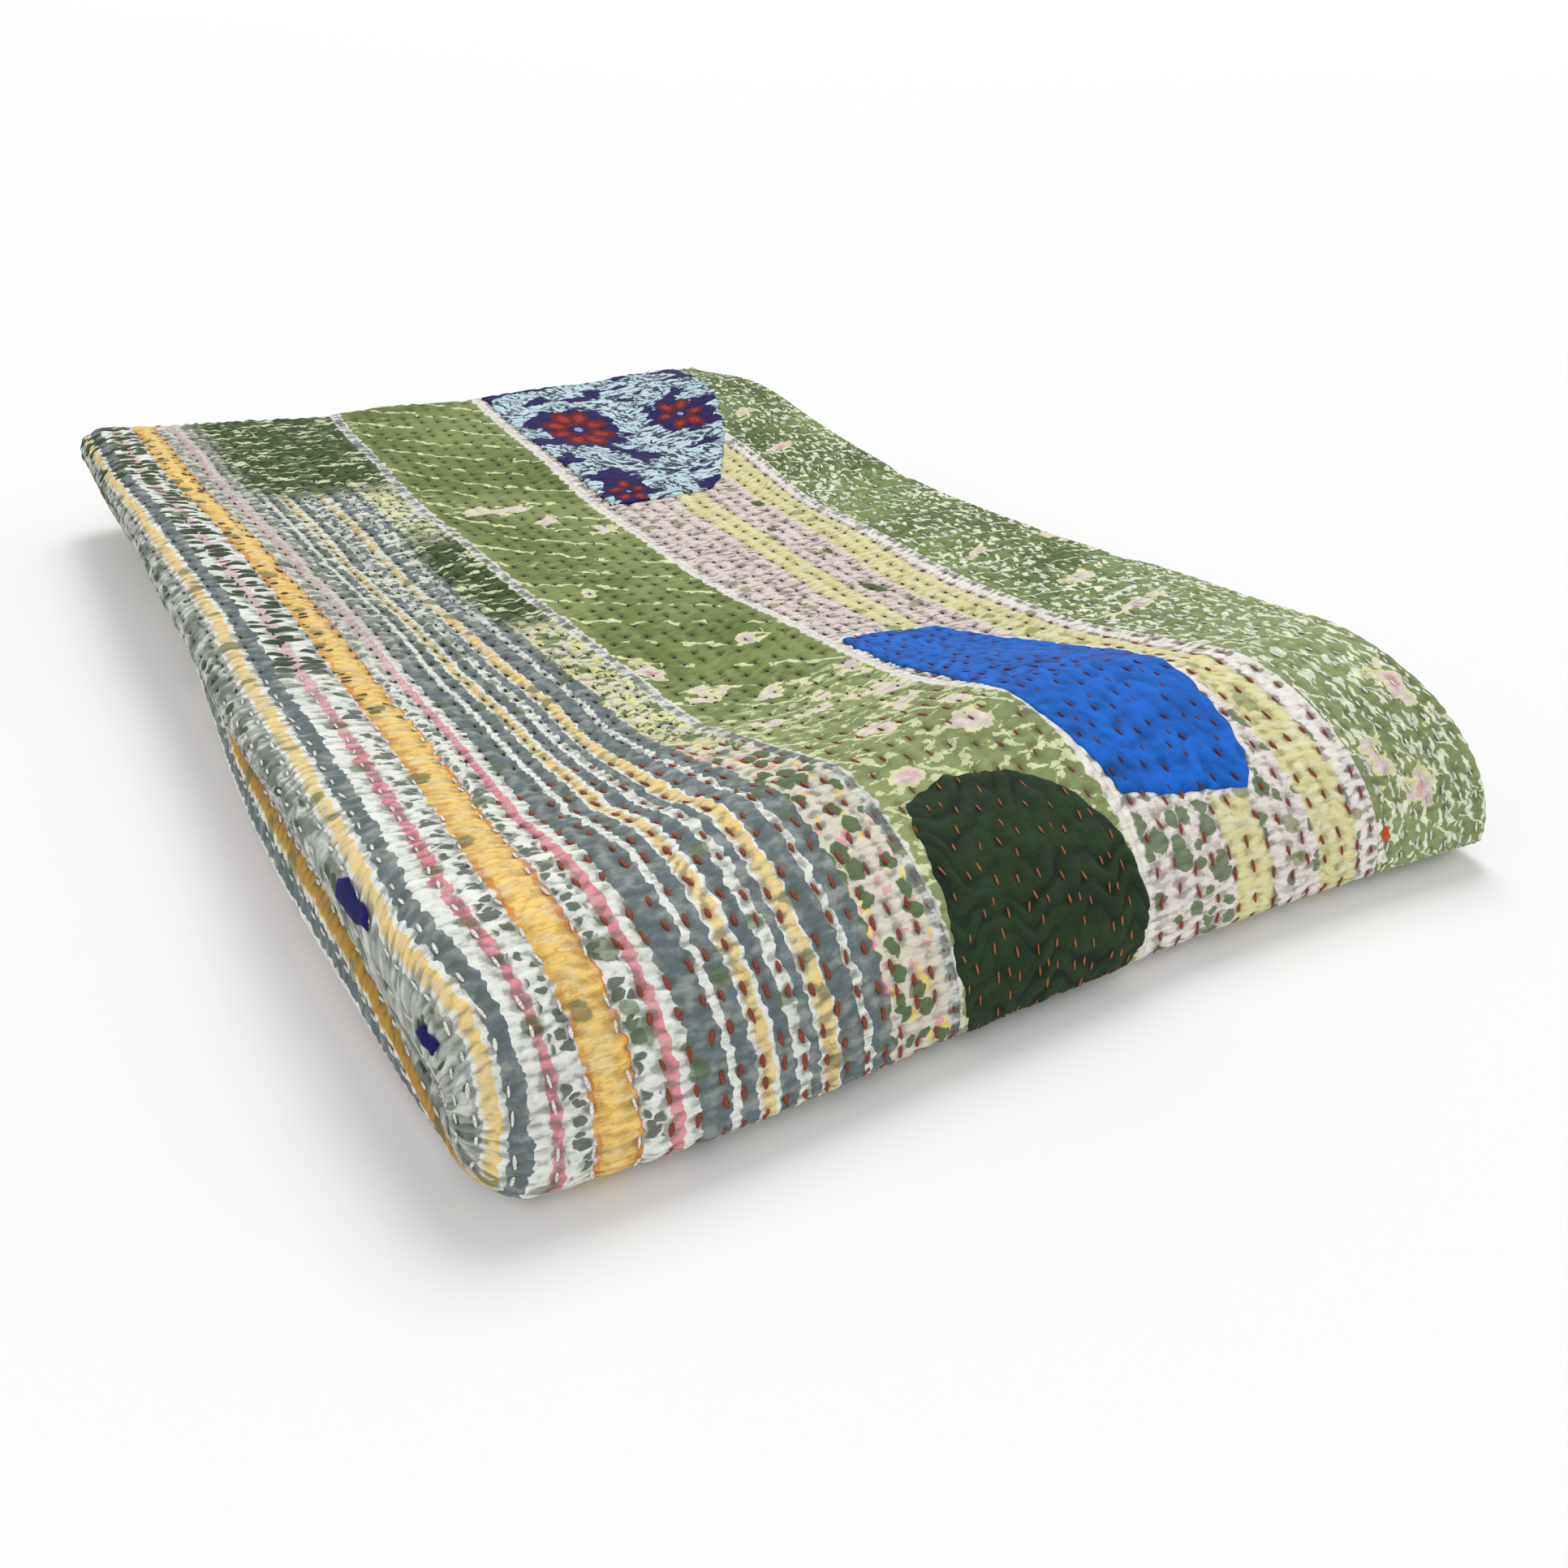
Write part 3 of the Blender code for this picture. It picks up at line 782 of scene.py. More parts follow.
def face_panel(name, left, right, cells, along_marks, ripple, depth, hollow, seams=(True, True)):
    """A panel of face cloth between two lines of the print, its edges turned under."""
    lines = lines_at(along_marks)
    edges = [np.array([np.interp(side, PRINT_LINES, row) for row in lines]) for side in (left, right)]
    if left < COVERED[0] + 0.001:
        edges[0] = np.full(len(along_marks), left)
    share = np.linspace(0, 1, cells + 1)
    across = edges[0][:, None] + (edges[1] - edges[0])[:, None] * share
    along = np.repeat(along_marks[:, None], cells + 1, axis=1)
    printed = printed_place(across, along_marks)
    relief, crest = gathered(printed, along, ripple, depth, hollow)
    from_left = np.where(seams[0], across - across[:, :1], 1.0)
    from_right = np.where(seams[1], across[:, -1:] - across, 1.0)
    ridge = np.exp(-((np.minimum(from_left, from_right) - RIDGE_PLACE) / SEAM_RIDGE) ** 2)
    relief = relief * (1 - RIDGE_SHARE * ridge)
    outlines = (FLORAL_OUTLINE, BLUE_OUTLINE, DARK_GREEN_OUTLINE)
    near = [inside(outline, across, along) for outline in outlines]
    seat = PATCH_SEAT * ease(np.max(near, axis=0) / SEAT_SLOPE)
    relief = np.maximum(relief - seat, -DEEPEST)
    places = fold(across, along)
    up = outward(places)
    places += up * (relief + creases(across, along))[..., None]
    places[..., 2] = np.maximum(places[..., 2], 0.0)
    under = np.pad(np.zeros(places.shape[:2]), ((1, 1), (int(seams[0]), int(seams[1]))), constant_values=1)
    places = widened(places, seams) - widened(up, seams) * under[..., None] * SKIRT
    cloth = widened(np.stack((printed, along), axis=2), seams)
    rows, columns = under.shape
    bake = np.stack(np.meshgrid(*(np.linspace(*MAP_MARGIN, n) for n in (columns, rows))), axis=2)
    piece, row, column = grid_piece(name, places, cloth, bake)
    store(piece, "crest", widened(crest, seams)[row, column])
    store(piece, "near_blue", widened(near[1], seams)[row, column])
    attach(piece, "root")
    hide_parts("quilt")
    return piece


# Border: a sari's striped edge, soft white cotton with grey blue, yellow and pink stripes.
# It goes over the left fold in one with the strip on top, worn through in spots.
# Columns: where the stripe starts, its colour
# The first grey, below the crease edge, is painted shade in the crease.
STRIPES = (
    (0.4000, CREASE_SHADE), (0.4640, WHITE), (0.4664, YELLOW), (0.4702, WHITE), (0.4722, GREY_BLUE),
    (0.4790, WHITE), (0.4850, PINK), (0.4892, WHITE), (0.4985, ORANGE), (0.5005, YELLOW),
    (0.5110, ORANGE), (0.5130, WHITE), (0.5220, PINK), (0.5262, WHITE), (0.5320, GREY_BLUE),
    (0.5425, WHITE), (0.5460, GREY_BLUE), (0.5522, WHITE), (0.5534, YELLOW), (0.5584, WHITE),
    (0.5598, GREY_BLUE), (0.5665, WHITE), (0.5712, GREY_BLUE), (0.5755, WHITE), (0.5768, YELLOW),
    (0.5822, WHITE), (0.5838, GREY_BLUE), (0.5920, WHITE), (0.5955, GREY_BLUE), (0.6035, CREAM),
    (0.6275, GREY_BLUE),
)
STRIPES_FROM = 0.400
STRIPES_TO = 0.660
SHARP = 0.0003
SIDE_YELLOW = (0.4664, 0.4702, SHARP)
THIN_YELLOW = (0.5534, 0.5584, SHARP)
LAST_YELLOW = (0.5768, 0.5822, SHARP)
WIDE_YELLOW = (0.4985, 0.5130)
WIDE_YELLOW_MIDDLE = 0.5058
PINK_LINES = ((0.4850, 0.4892, 0.0004), (0.5220, 0.5262, 0.0004))
LEFT_RUNGS = (0.4905, 0.4975)
RIGHT_RUNGS = (0.5145, 0.5215)
CREASE_EDGE = 0.4630
CONFETTI = (0.6035, 0.6275, 0.0006)
GREY_GREEN = (112, 120, 110)


def stripe_colour(across):
    """Colour of the stripe at a place across."""
    share = add(across.tree, "ShaderNodeMapRange", {"Value": across, "From Min": STRIPES_FROM,
                                                    "From Max": STRIPES_TO})["Result"]
    striped = add(across.tree, "ShaderNodeValToRGB", {0: share})[0]
    ramp = striped.socket.node.color_ramp
    ramp.interpolation = "CONSTANT"
    while len(ramp.elements) > 1:
        ramp.elements.remove(ramp.elements[-1])
    for number, (start, colour) in enumerate(STRIPES):
        position = (start - STRIPES_FROM) / (STRIPES_TO - STRIPES_FROM)
        stop = ramp.elements[0] if number == 0 else ramp.elements.new(position)
        stop.position = position
        stop.color = linear(*colour)
    return striped


def border_cloth():
    cloth = Cloth("border_cloth", 0.90)
    place = cloth.place
    shifted = cloth.ragged(0.0015)
    drawn = cloth.ragged(0.0080)
    steady = cloth.ragged(0.0005)
    across, along = shifted.parts()
    zone_across, zone_along = drawn.parts()
    height = cloth.crest()
    # low: where the gathered cloth lies low, for painted shade
    low = height.step(0.72, 0.30)
    wide_yellow = across.between(*WIDE_YELLOW, SHARP)
    cloth.colour = stripe_colour(across)
    # clouded dye: the grey blue and the yellow are paler in places
    cloud = place.noise(120.0, 160.0, 4.0).step(0.40, 0.68)
    cloth.lay(cloud * 0.32, (206, 208, 198))
    # the thin stripes have faded most
    faded = place.noise(70.0, 60.0).step(0.35, 0.65)
    cloth.lay(across.between(*SIDE_YELLOW) * (faded * 0.45 + 0.45), (224, 208, 160))
    thin_yellow = across.between(*THIN_YELLOW) | across.between(*LAST_YELLOW)
    cloth.lay(thin_yellow * (faded * 0.40 + 0.30), (228, 214, 164))
    # the orange edges of the yellow come and go
    edge = abs(across - WIDE_YELLOW_MIDDLE).maths("GREATER_THAN", 0.0050)
    cloth.lay(edge * wide_yellow * place.noise(30.0, 28.0).step(0.42, 0.55), YELLOW)
    # ochre where the thin yellow stripe runs along the lower half
    cloth.lay(along.step(0.70, 0.66) * across.between(0.4628, 0.4705), (188, 146, 66))
    # mottled cotton at the crease, with patches of dark painted shade
    crease = across.step(CREASE_EDGE + 0.0010, CREASE_EDGE - 0.0010)
    cloth.lay(crease * shifted.noise(70.0, 120.0, 3.0).step(0.46, 0.60) * 0.8, (222, 224, 216))
    cloth.lay(crease * place.noise(60.0, 75.0).step(0.51, 0.62) * 0.75, (98, 104, 98))
    # painted shade where the gathered cloth lies low: brown in the wide yellow, grey green elsewhere
    cloth.lay(low * 0.42 * wide_yellow, (212, 156, 74))
    cloth.lay(low * 0.50 * (1.0 - wide_yellow), GREY_GREEN)
    # the pink fades towards the far end
    pink_line = across.between(*PINK_LINES[0]) | across.between(*PINK_LINES[1])
    cloth.lay(pink_line * along.step(0.90, 1.06) * 0.78, ROSE)
    # far end of the strip: flecks of white on grey, then a green with pale flecks
    far = zone_along.step(0.96, 1.12) * across.step(0.5125, 0.5160)
    cloth.lay(far * 0.25, (130, 136, 130))
    fleck = (height * 0.30 + shifted.noise(75.0, 220.0)).step(0.76, 0.80)
    cloth.lay(far * fleck * 0.9, (228, 230, 216))
    mauve = zone_across.between(0.514, 0.536, 0.004) * zone_along.step(0.98, 1.06)
    cloth.lay(mauve * 0.45, (190, 180, 174))
    green_end = zone_across.step(0.532, 0.548) * zone_along.step(1.235, 1.265)
    green_spot = zone_across.step(0.594, 0.604) * zone_along.between(1.03, 1.16, 0.015)
    bare = green_end | green_spot
    thin = shifted.noise(52.0, 300.0).step(0.59, 0.62)
    cloth.lay(bare, cloth.mixed(thin, cloth.mixed(cloud, DEEP_GREEN, (82, 104, 60)), (214, 222, 178)))
    # cream strip beside the seam: green, pink and yellow spots at the front, confetti behind
    strip = across.between(*CONFETTI) * (1.0 - bare)
    front = strip * zone_along.step(0.90, 0.86)
    back = strip * zone_along.step(0.84, 0.88)
    cloth.lay(front * shifted.noise(140.0, 150.0, 1.0).step(0.62, 0.66) * 0.6, PINK)
    cloth.lay(front * shifted.noise(150.0, 120.0, 1.0, "Color").step(0.62, 0.66), (238, 214, 130))
    cloth.lay_ovals(shifted, front, 130.0, 120.0, 0.44, 0.6, (100, 120, 82))
    cloth.lay_ovals(shifted, back, 120.0, 260.0, 0.52, 0.7, (112, 130, 84))
    cloth.lay_ovals(drawn, back, 130.0, 210.0, 0.46, 0.7, (226, 226, 160))
    patchy = shifted.noise(60.0, 120.0).step(0.44, 0.56)
    seam = across.step(0.6268, 0.6280) * (zone_along.step(0.84, 0.88) | patchy)
    # the turned seam edge: pale, with grey painted shade where it lies low
    cloth.lay(seam, cloth.mixed(low, (222, 224, 216), (150, 156, 148)))
    # holes: small grey ones between the rungs beside the yellow, long dark ones at the far end
    right_rungs = across.between(*RIGHT_RUNGS)
    beside = across.between(*LEFT_RUNGS) | right_rungs
    rungs = (across.between(0.4790, LEFT_RUNGS[1]) | right_rungs * 0.6) * zone_along.step(0.96, 1.02)
    corner = zone_across.step(0.500, 0.492) * zone_along.step(1.22, 1.28)
    near_end = zone_along.step(1.04, 0.98)
    cloth.lay_ovals(shifted, beside * near_end, 150.0, 215.0, 0.42, 0.80, GREY_GREEN)
    cloth.lay_ovals(steady, rungs, 88.0, 170.0, 0.44, 0.88, (66, 80, 58))
    cloth.lay_ovals(steady, corner, 95.0, 150.0, 0.46, 0.52, DEEP_GREEN)
    # scattered green stains, and ovals worn through near the crease
    cloth.lay_ovals(shifted, 0.75, 62.0, 70.0, 0.26, 0.30, (104, 118, 86))
    cloth.lay_ovals(shifted, crease, 110.0, 125.0, 0.34, 0.30, (84, 98, 76))
    # fine cracks across the yellow, blackened further back
    yellow = across.between(*WIDE_YELLOW)
    cloth.lay(abs(place.noise(60.0, 300.0) - 0.5).step(0.030, 0.012) * yellow * 0.45, (206, 144, 60))
    cloth.lay_ovals(steady, yellow * zone_along.step(0.86, 1.00), 120.0, 210.0, 0.26, 0.42, (84, 78, 50))
    return cloth.finish(crest=height)


BORDER_CLOTH = border_cloth()
full_marks = chain(0.0, (0.650, 460), (0.160, 124), (ALONG - 0.810, 430))
top_marks = chain(0.0, (0.560, 40), (0.080, 32), (0.170, 134), (ALONG - 0.810, 414))
side_panel = face_panel("border_side", 0.415, 0.4985, 60, full_marks, 0.0052, 0.00045, 0.0011,
                        (False, False))
side_panel.data.materials.append(BORDER_CLOTH)
top_panel = face_panel("border_top", 0.4985, 0.632, 98, top_marks, 0.0052, 0.00045, 0.0013,
                       (False, True))
top_panel.data.materials.append(BORDER_CLOTH)

# Green print: a faded sage cotton with slanting rows of pale dashes, sewn on beside the border
# and again down the right side, where it turns over the right fold.
DASH_TURN = 0.636
FRONT_FADE = (0.93, 0.86)
TURNED_EDGES = ((0.6305, 0.6335, 0.0005), (0.7235, 0.7300, 0.0005))


def dashes():
    """Slanting rows of pale dashes."""
    group, given, place, put = new_group(
        "dashes", (("Rows", 45.0), ("Thick", 0.05), ("Fill", 0.5)), (("Mask", "NodeSocketFloat"),))
    turned = add(group, "ShaderNodeMapping", {"Vector": place, "Rotation": (0, 0, DASH_TURN)})[0]
    line = turned.parts()[1] * given["Rows"] + turned.noise(60.0, 30.0) * 0.45
    off = abs(line.maths("FRACT") - 0.5)
    near = given["Thick"] * (turned.noise(160.0, 160.0) * 2.0 + -0.10) - off
    kept = (turned.noise(80.0, 45.0) + given["Fill"]).step(0.98, 1.02)
    feed(put["Mask"], near.step(0.0, 0.02) * kept)
    return group


DASHES = dashes()


def add_smudges(piece, name, rows):
    """Stores how far inside listed ovals each point lies. Columns: across, along,
    half sizes across and along, turn."""
    mesh = piece.data
    spots = np.empty(len(mesh.loops) * 2)
    mesh.uv_layers["cloth"].data.foreach_get("uv", spots)
    corner = np.empty(len(mesh.loops), dtype=int)
    mesh.loops.foreach_get("vertex_index", corner)
    flat = np.zeros((len(mesh.vertices), 2))
    flat[corner] = spots.reshape(-1, 2)
    depth = np.full(len(flat), -1.0)
    for x, y, half_x, half_y, turn in rows:
        over = (flat[:, 0] - x) * math.cos(turn) + (flat[:, 1] - y) * math.sin(turn)
        up = (flat[:, 1] - y) * math.cos(turn) - (flat[:, 0] - x) * math.sin(turn)
        depth = np.maximum(depth, 1 - np.hypot(over / half_x, up / half_y))
    store(piece, name, depth)


def green_print(name, rows_a_metre, fill, fleck_size, dotted, base, shade, pale):
    """The green print; dotted with small pale flecks where it is worn most."""
    cloth = Cloth(name, 0.90)
    place = cloth.place
    shifted = cloth.ragged(0.0018)
    across, along = shifted.parts()
    height = cloth.crest(0.5)
    cloth.colour = cloth.mixed(place.noise(16.0, 13.0, 3.0).step(0.36, 0.62), base, shade)
    mottle = place.noise(120.0, 160.0, 3.0).step(0.45, 0.75)
    cloth.lay(mottle * 0.45, (152, 162, 108))
    # painted shade: darker green where the gathered cloth lies low
    cloth.lay(height.step(0.50, 0.20) * 0.45, (78, 94, 42))
    cloth.lay(shifted.through(DASHES, Rows=rows_a_metre, Thick=0.066, Fill=fill), pale)
    # pale flecks in clouds, thick where the print is worn: above all towards the front fold
    front = along.step(*FRONT_FADE)
    cloth.lay(front * 0.26, (184, 192, 146))
    zone = place.noise(17.0, 15.0).step(0.66 - dotted, 0.80 - dotted) | front * 0.85
    cloth.lay(shifted.noise(*fleck_size).step(0.59, 0.63) * zone, pale)
    if dotted > 0.1:
        cloth.lay_ovals(shifted, 0.90, 230.0, 95.0, 0.28, 0.70, pale)
    # larger faded smudges, with a pale surround
    torn = cloth.stored("smudge") + (shifted.noise(90.0, 130.0, 3.0) - 0.5) * 3.0
    cloth.lay(torn.step(0.20, 0.28), (226, 224, 172))
    cloth.lay(torn.step(0.48, 0.58), ROSE)
    cloth.lay((torn + mottle * 0.4).step(1.15, 1.30) * 0.6, (222, 150, 150))
    cloth.lay(cloth.stored("dot").step(0.0, 0.2), (204, 76, 44))
    # white turned edges at the seams, grey with painted shade where they lie low
    seams = across.between(*TURNED_EDGES[0]) | across.between(*TURNED_EDGES[1])
    cloth.lay(seams, cloth.mixed(height.step(0.6, 0.3), (230, 226, 216), (176, 172, 162)))
    return cloth.finish(crest=height, crinkle=0.8)


sage_panel = face_panel("sage_panel", 0.632, 0.727, 70, top_marks, 0.0060, 0.00022, 0.0009)
add_smudges(sage_panel, "smudge", (
    (0.700, 0.838, 0.016, 0.008, 0.2), (0.676, 0.868, 0.012, 0.007, 0.4), (0.668, 0.822, 0.010, 0.006, 0.2),
    (0.714, 0.815, 0.010, 0.008, 0.0), (0.650, 0.868, 0.008, 0.008, 0.2), (0.690, 0.880, 0.010, 0.006, 0.5),
    (0.652, 0.925, 0.012, 0.012, 0.0), (0.682, 0.905, 0.014, 0.009, 0.3), (0.712, 0.862, 0.020, 0.012, 0.0),
    (0.672, 1.200, 0.034, 0.009, 0.0), (0.712, 1.142, 0.010, 0.012, 0.0), (0.660, 1.055, 0.006, 0.006, 0.0),
    (0.696, 0.800, 0.016, 0.006, 0.2), (0.655, 0.790, 0.010, 0.005, 0.0), (0.690, 1.170, 0.008, 0.010, 0.0),
    (0.640, 0.960, 0.008, 0.016, 0.0), (0.718, 0.900, 0.008, 0.012, 0.0), (0.700, 0.960, 0.010, 0.006, 0.4),
))
add_smudges(sage_panel, "dot", ())
sage_panel.data.materials.append(green_print(
    "sage_print", 45.0, 0.54, (120.0, 320.0), 0.04,
    (136, 150, 90), (108, 124, 64), (222, 228, 178)))

green_panel = face_panel("green_panel", 0.843, 0.950, 78, top_marks, 0.0060, 0.00028, 0.0010, (True, False))
add_smudges(green_panel, "smudge", (
    (0.857, 0.742, 0.008, 0.012, 0.0), (0.872, 0.728, 0.012, 0.009, 0.4), (0.892, 0.768, 0.009, 0.013, 0.0),
    (0.875, 0.930, 0.009, 0.009, 0.0), (0.870, 1.270, 0.010, 0.010, 0.0), (0.864, 1.000, 0.012, 0.006, 0.5),
    (0.862, 1.210, 0.010, 0.008, 0.0), (0.868, 0.880, 0.014, 0.007, 0.2), (0.905, 0.990, 0.007, 0.006, 0.0),
))
add_smudges(green_panel, "dot", ((0.8475, 0.713, 0.0028, 0.0042, 0.0),))
green_panel.data.materials.append(green_print(
    "green_print", 80.0, 0.50, (260.0, 150.0), 0.18,
    (126, 146, 90), (92, 112, 60), (236, 240, 214)))

# Pink strip: worn pinkish white cotton with two soft yellow green stripes, laid between the
# two greens with its pale edges turned under.


YELLOW_GREEN = ((0.7685, 0.7865), (0.8100, 0.8315))
BEHIND = (0.86, 0.94)


def pink_cloth():
    cloth = Cloth("pink_cloth", 0.90)
    place = cloth.place
    shifted = cloth.ragged(0.0016)
    across = shifted.parts()[0]
    zone_along = cloth.ragged(0.0060).parts()[1]
    height = cloth.crest()
    low = height.step(0.60, 0.28)
    behind = zone_along.step(*BEHIND)
    cloth.colour = cloth.mixed(behind, (234, 226, 220), ROSE)
    # painted shade in the small pits of the cloth, stronger behind
    pit_shade = shifted.noise(120.0, 330.0).step(0.55, 0.62)
    cloth.lay(pit_shade * (behind * 0.45 + 0.30), (128, 118, 108))
    # painted shade where the gathered cloth lies low
    cloth.lay(low * 0.55, (146, 138, 130))
    first = across.between(*YELLOW_GREEN[0]) * (behind | zone_along.step(0.775, 0.765))
    second = across.between(*YELLOW_GREEN[1])
    paler = cloth.mixed(place.noise(90.0, 220.0).step(0.40, 0.62), LEMON, (226, 222, 176))
    # the stripes darker where they lie low, a painted shade
    cloth.lay((first | second) * 0.92, cloth.mixed(low * 0.5, paler, (172, 168, 100)))
    # green cells worn through the front part, in a net of white threads
    bare = (1.0 - behind) * (1.0 - (first | second * 0.9)) * across.step(0.836, 0.832)
    cloth.lay_ovals(shifted, bare, 130.0, 115.0, 0.45, 0.55, (120, 134, 106))
    cloth.lay(cloth.stored("hole").step(0.1, 0.3), (84, 102, 62))
    # pale turned edges, and the frayed white rim of the blue patch, grey with painted shade where they lie
    # low
    fray = (place.noise(260.0, 260.0) - 0.5) * 0.006
    patch_rim = (cloth.stored("near_blue") + fray).step(-0.0034, -0.0024)
    rim = across.step(0.8325, 0.8335) | across.step(0.7310, 0.7295) | patch_rim
    cloth.lay(rim, cloth.mixed(low, (236, 232, 224), (166, 160, 150)))
    cloth.lay_ovals(shifted, 0.7, 60.0, 64.0, 0.24, 0.30, (130, 138, 88))
    return cloth.finish(crest=height, crinkle=1.1)


pink_panel = face_panel("pink_panel", 0.727, 0.843, 84, top_marks, 0.0050, 0.00036, 0.0011)
add_smudges(pink_panel, "hole", (
    (0.797, 0.995, 0.005, 0.012, 0.3), (0.803, 1.055, 0.003, 0.006, 0.0), (0.792, 1.10, 0.003, 0.005, 0.0),
    (0.806, 1.150, 0.004, 0.007, 0.2),
))
pink_panel.data.materials.append(pink_cloth())

# Patches: pieces of newer cotton, sewn over worn places with their edges turned under.
TURNED_UNDER = 0.0006
SMALLEST_CUT = 0.010
SMALLEST_SHARE = 0.31
PATCH_CLOTH = 0.0007
PATCH_LIFT = 0.0002
PATCH_PUFF = 0.0009
ROUNDED_CELLS = 2.5
EDGE_WANDER = 0.0012
EDGE_WAVES = (0.006, 0.04)
TWIN_SHARES = (0.2, 0.7)
CREST_HOLLOW = 0.3
TWIN_STITCH = (0.0047, 0.0062)      # a patch has a second stitch between the rows' stitches


def side_of(points, share):
    """Points at parts of the length of a polyline."""
    points = np.array(points)
    reached = np.concatenate(([0.0], np.cumsum(np.linalg.norm(np.diff(points, axis=0), axis=1))))
    reached = reached / reached[-1]
    return np.stack([np.interp(share, reached, points[:, i]) for i in range(2)], axis=1)


def patch(name, node, left, bottom, right, top, cells, ripple, depth, hollow):
    """A patch between four sides, each given from low to high numbers."""
    a = np.linspace(0, 1, cells[0] + 1)
    b = np.linspace(0, 1, cells[1] + 1)
    sides = [side_of(left, b), side_of(right, b)]
    ends = [side_of(bottom, a), side_of(top, a)]
    over, up_share = np.meshgrid(a, b)
    over = over[..., None]
    up_share = up_share[..., None]
    flat = ((1 - over) * sides[0][:, None] + over * sides[1][:, None]
            + (1 - up_share) * ends[0][None] + up_share * ends[1][None]
            - (1 - over) * (1 - up_share) * ends[0][0] - over * (1 - up_share) * ends[0][-1]
            - (1 - over) * up_share * ends[1][0] - over * up_share * ends[1][-1])
    wavy = np.stack((uneven(flat[..., 1] / EDGE_WAVES[0], flat[..., 0] / EDGE_WAVES[1], 21),
                     uneven(flat[..., 0] / EDGE_WAVES[0], flat[..., 1] / EDGE_WAVES[1], 22)), axis=2)
    flat = flat + EDGE_WANDER * wavy
    across = flat[..., 0]
    along = np.minimum(flat[..., 1], ALONG)
    places = fold(across, along)
    up = outward(places)
    printed = printed_place(across.reshape(-1, 1), along.ravel()).reshape(across.shape)
    relief = gathered(printed, along, ripple, depth, hollow)[0]
    twin = gathered(printed + TWIN_STITCH[0], along + TWIN_STITCH[1], ripple, TWIN_SHARES[0] * depth,
                    TWIN_SHARES[1] * hollow)[0]
    relief = np.minimum(relief, twin)
    # the crest that the patch's painted shade follows: the ripples, with only shallow stitch hollows
    crest = gathered(printed, along, ripple, depth, CREST_HOLLOW * hollow)[1]
    edge = np.minimum(np.minimum(over, 1 - over) * cells[0],
                      np.minimum(up_share, 1 - up_share) * cells[1])
    rounded = np.sqrt(np.clip(1 - (1 - np.clip(edge[..., 0] / ROUNDED_CELLS, 0, 1)) ** 2, 0, 1))
    height = (np.maximum(relief, PATCH_CLOTH - DEEPEST) + creases(across, along) + PATCH_LIFT
              + PATCH_PUFF * rounded)
    places += up * height[..., None]
    cloth = np.stack((across, along), axis=2)
    piece, row, column = grid_piece(name, places, cloth)
    store(piece, "crest", crest[row, column])
    wall = piece.modifiers.new("wall", "SOLIDIFY")
    wall.thickness = PATCH_CLOTH
    wall.offset = -1.0
    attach(piece, "root")
    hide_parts(node)
    width = max(float(np.ptp(across)) + 2 * TURNED_UNDER, SMALLEST_CUT)
    length = max(float(np.ptp(along)) + 2 * TURNED_UNDER, SMALLEST_CUT)
    cell = np.gradient(across, axis=1) * np.gradient(along, axis=0)
    area = float(np.sum((cell - np.gradient(across, axis=0) * np.gradient(along, axis=1))[:-1, :-1]))
    area = max(area, SMALLEST_SHARE * width * length)
    return piece


def plain_patch(name, colour, crinkle, hollow_shade):
    cloth = Cloth(name, 0.85)
    darker = tuple(v * 0.80 for v in linear(*colour)[:3]) + (1.0,)
    cloth.colour = cloth.mixed(cloth.place.noise(60.0, 60.0, 3.0).step(0.4, 0.6), colour, darker)
    height = cloth.crest(0.2)
    # near black painted shade where the puckered patch lies low
    cloth.lay(height.step(0.60, 0.15) * hollow_shade, (16, 16, 20))
    return cloth.finish(crest=height, crinkle=crinkle)


dark_green = patch("patch_dark_green_cloth", "patch_dark_green",
                   ((0.634, 0.675), (0.630, 0.722), (0.636, 0.752), (0.645, 0.780)),
                   ((0.634, 0.675), (0.665, 0.675), (0.696, 0.675)),
                   ((0.696, 0.675), (0.714, 0.698), (0.722, 0.720), (0.722, 0.748)),
                   ((0.645, 0.780), (0.668, 0.786), (0.694, 0.778), (0.712, 0.766), (0.722, 0.748)),
                   (84, 100), 0.0115, 0.0008, 0.0015)
dark_green.data.materials.append(plain_patch("dark_green_cotton", (40, 60, 37), 0.5, 0.55))
blue = patch("patch_blue_cloth", "patch_blue",
             ((0.734, 0.756), (0.735, 0.840), (0.737, 0.930)),
             ((0.734, 0.756), (0.765, 0.748), (0.788, 0.746)),
             ((0.788, 0.746), (0.799, 0.758), (0.808, 0.785), (0.824, 0.842), (0.814, 0.884),
              (0.790, 0.928)),
             ((0.737, 0.930), (0.765, 0.929), (0.790, 0.928)),
             (78, 160), 0.0105, 0.0003, 0.0012)
blue.data.materials.append(plain_patch("blue_cotton", (16, 104, 208), 0.4, 0.25))

floral = patch("patch_floral_cloth", "patch_floral",
               ((0.731, 1.181), (0.732, 1.290), (0.733, 1.405)),
               ((0.731, 1.181), (0.762, 1.178), (0.798, 1.182)),
               ((0.798, 1.182), (0.818, 1.202), (0.852, 1.258), (0.880, 1.325), (0.892, 1.405)),
               ((0.733, 1.405), (0.810, 1.405), (0.892, 1.405)),
               (134, 204), 0.0045, 0.0003, 0.0007)


CRINKLE_LINE = (0.068, 0.044)


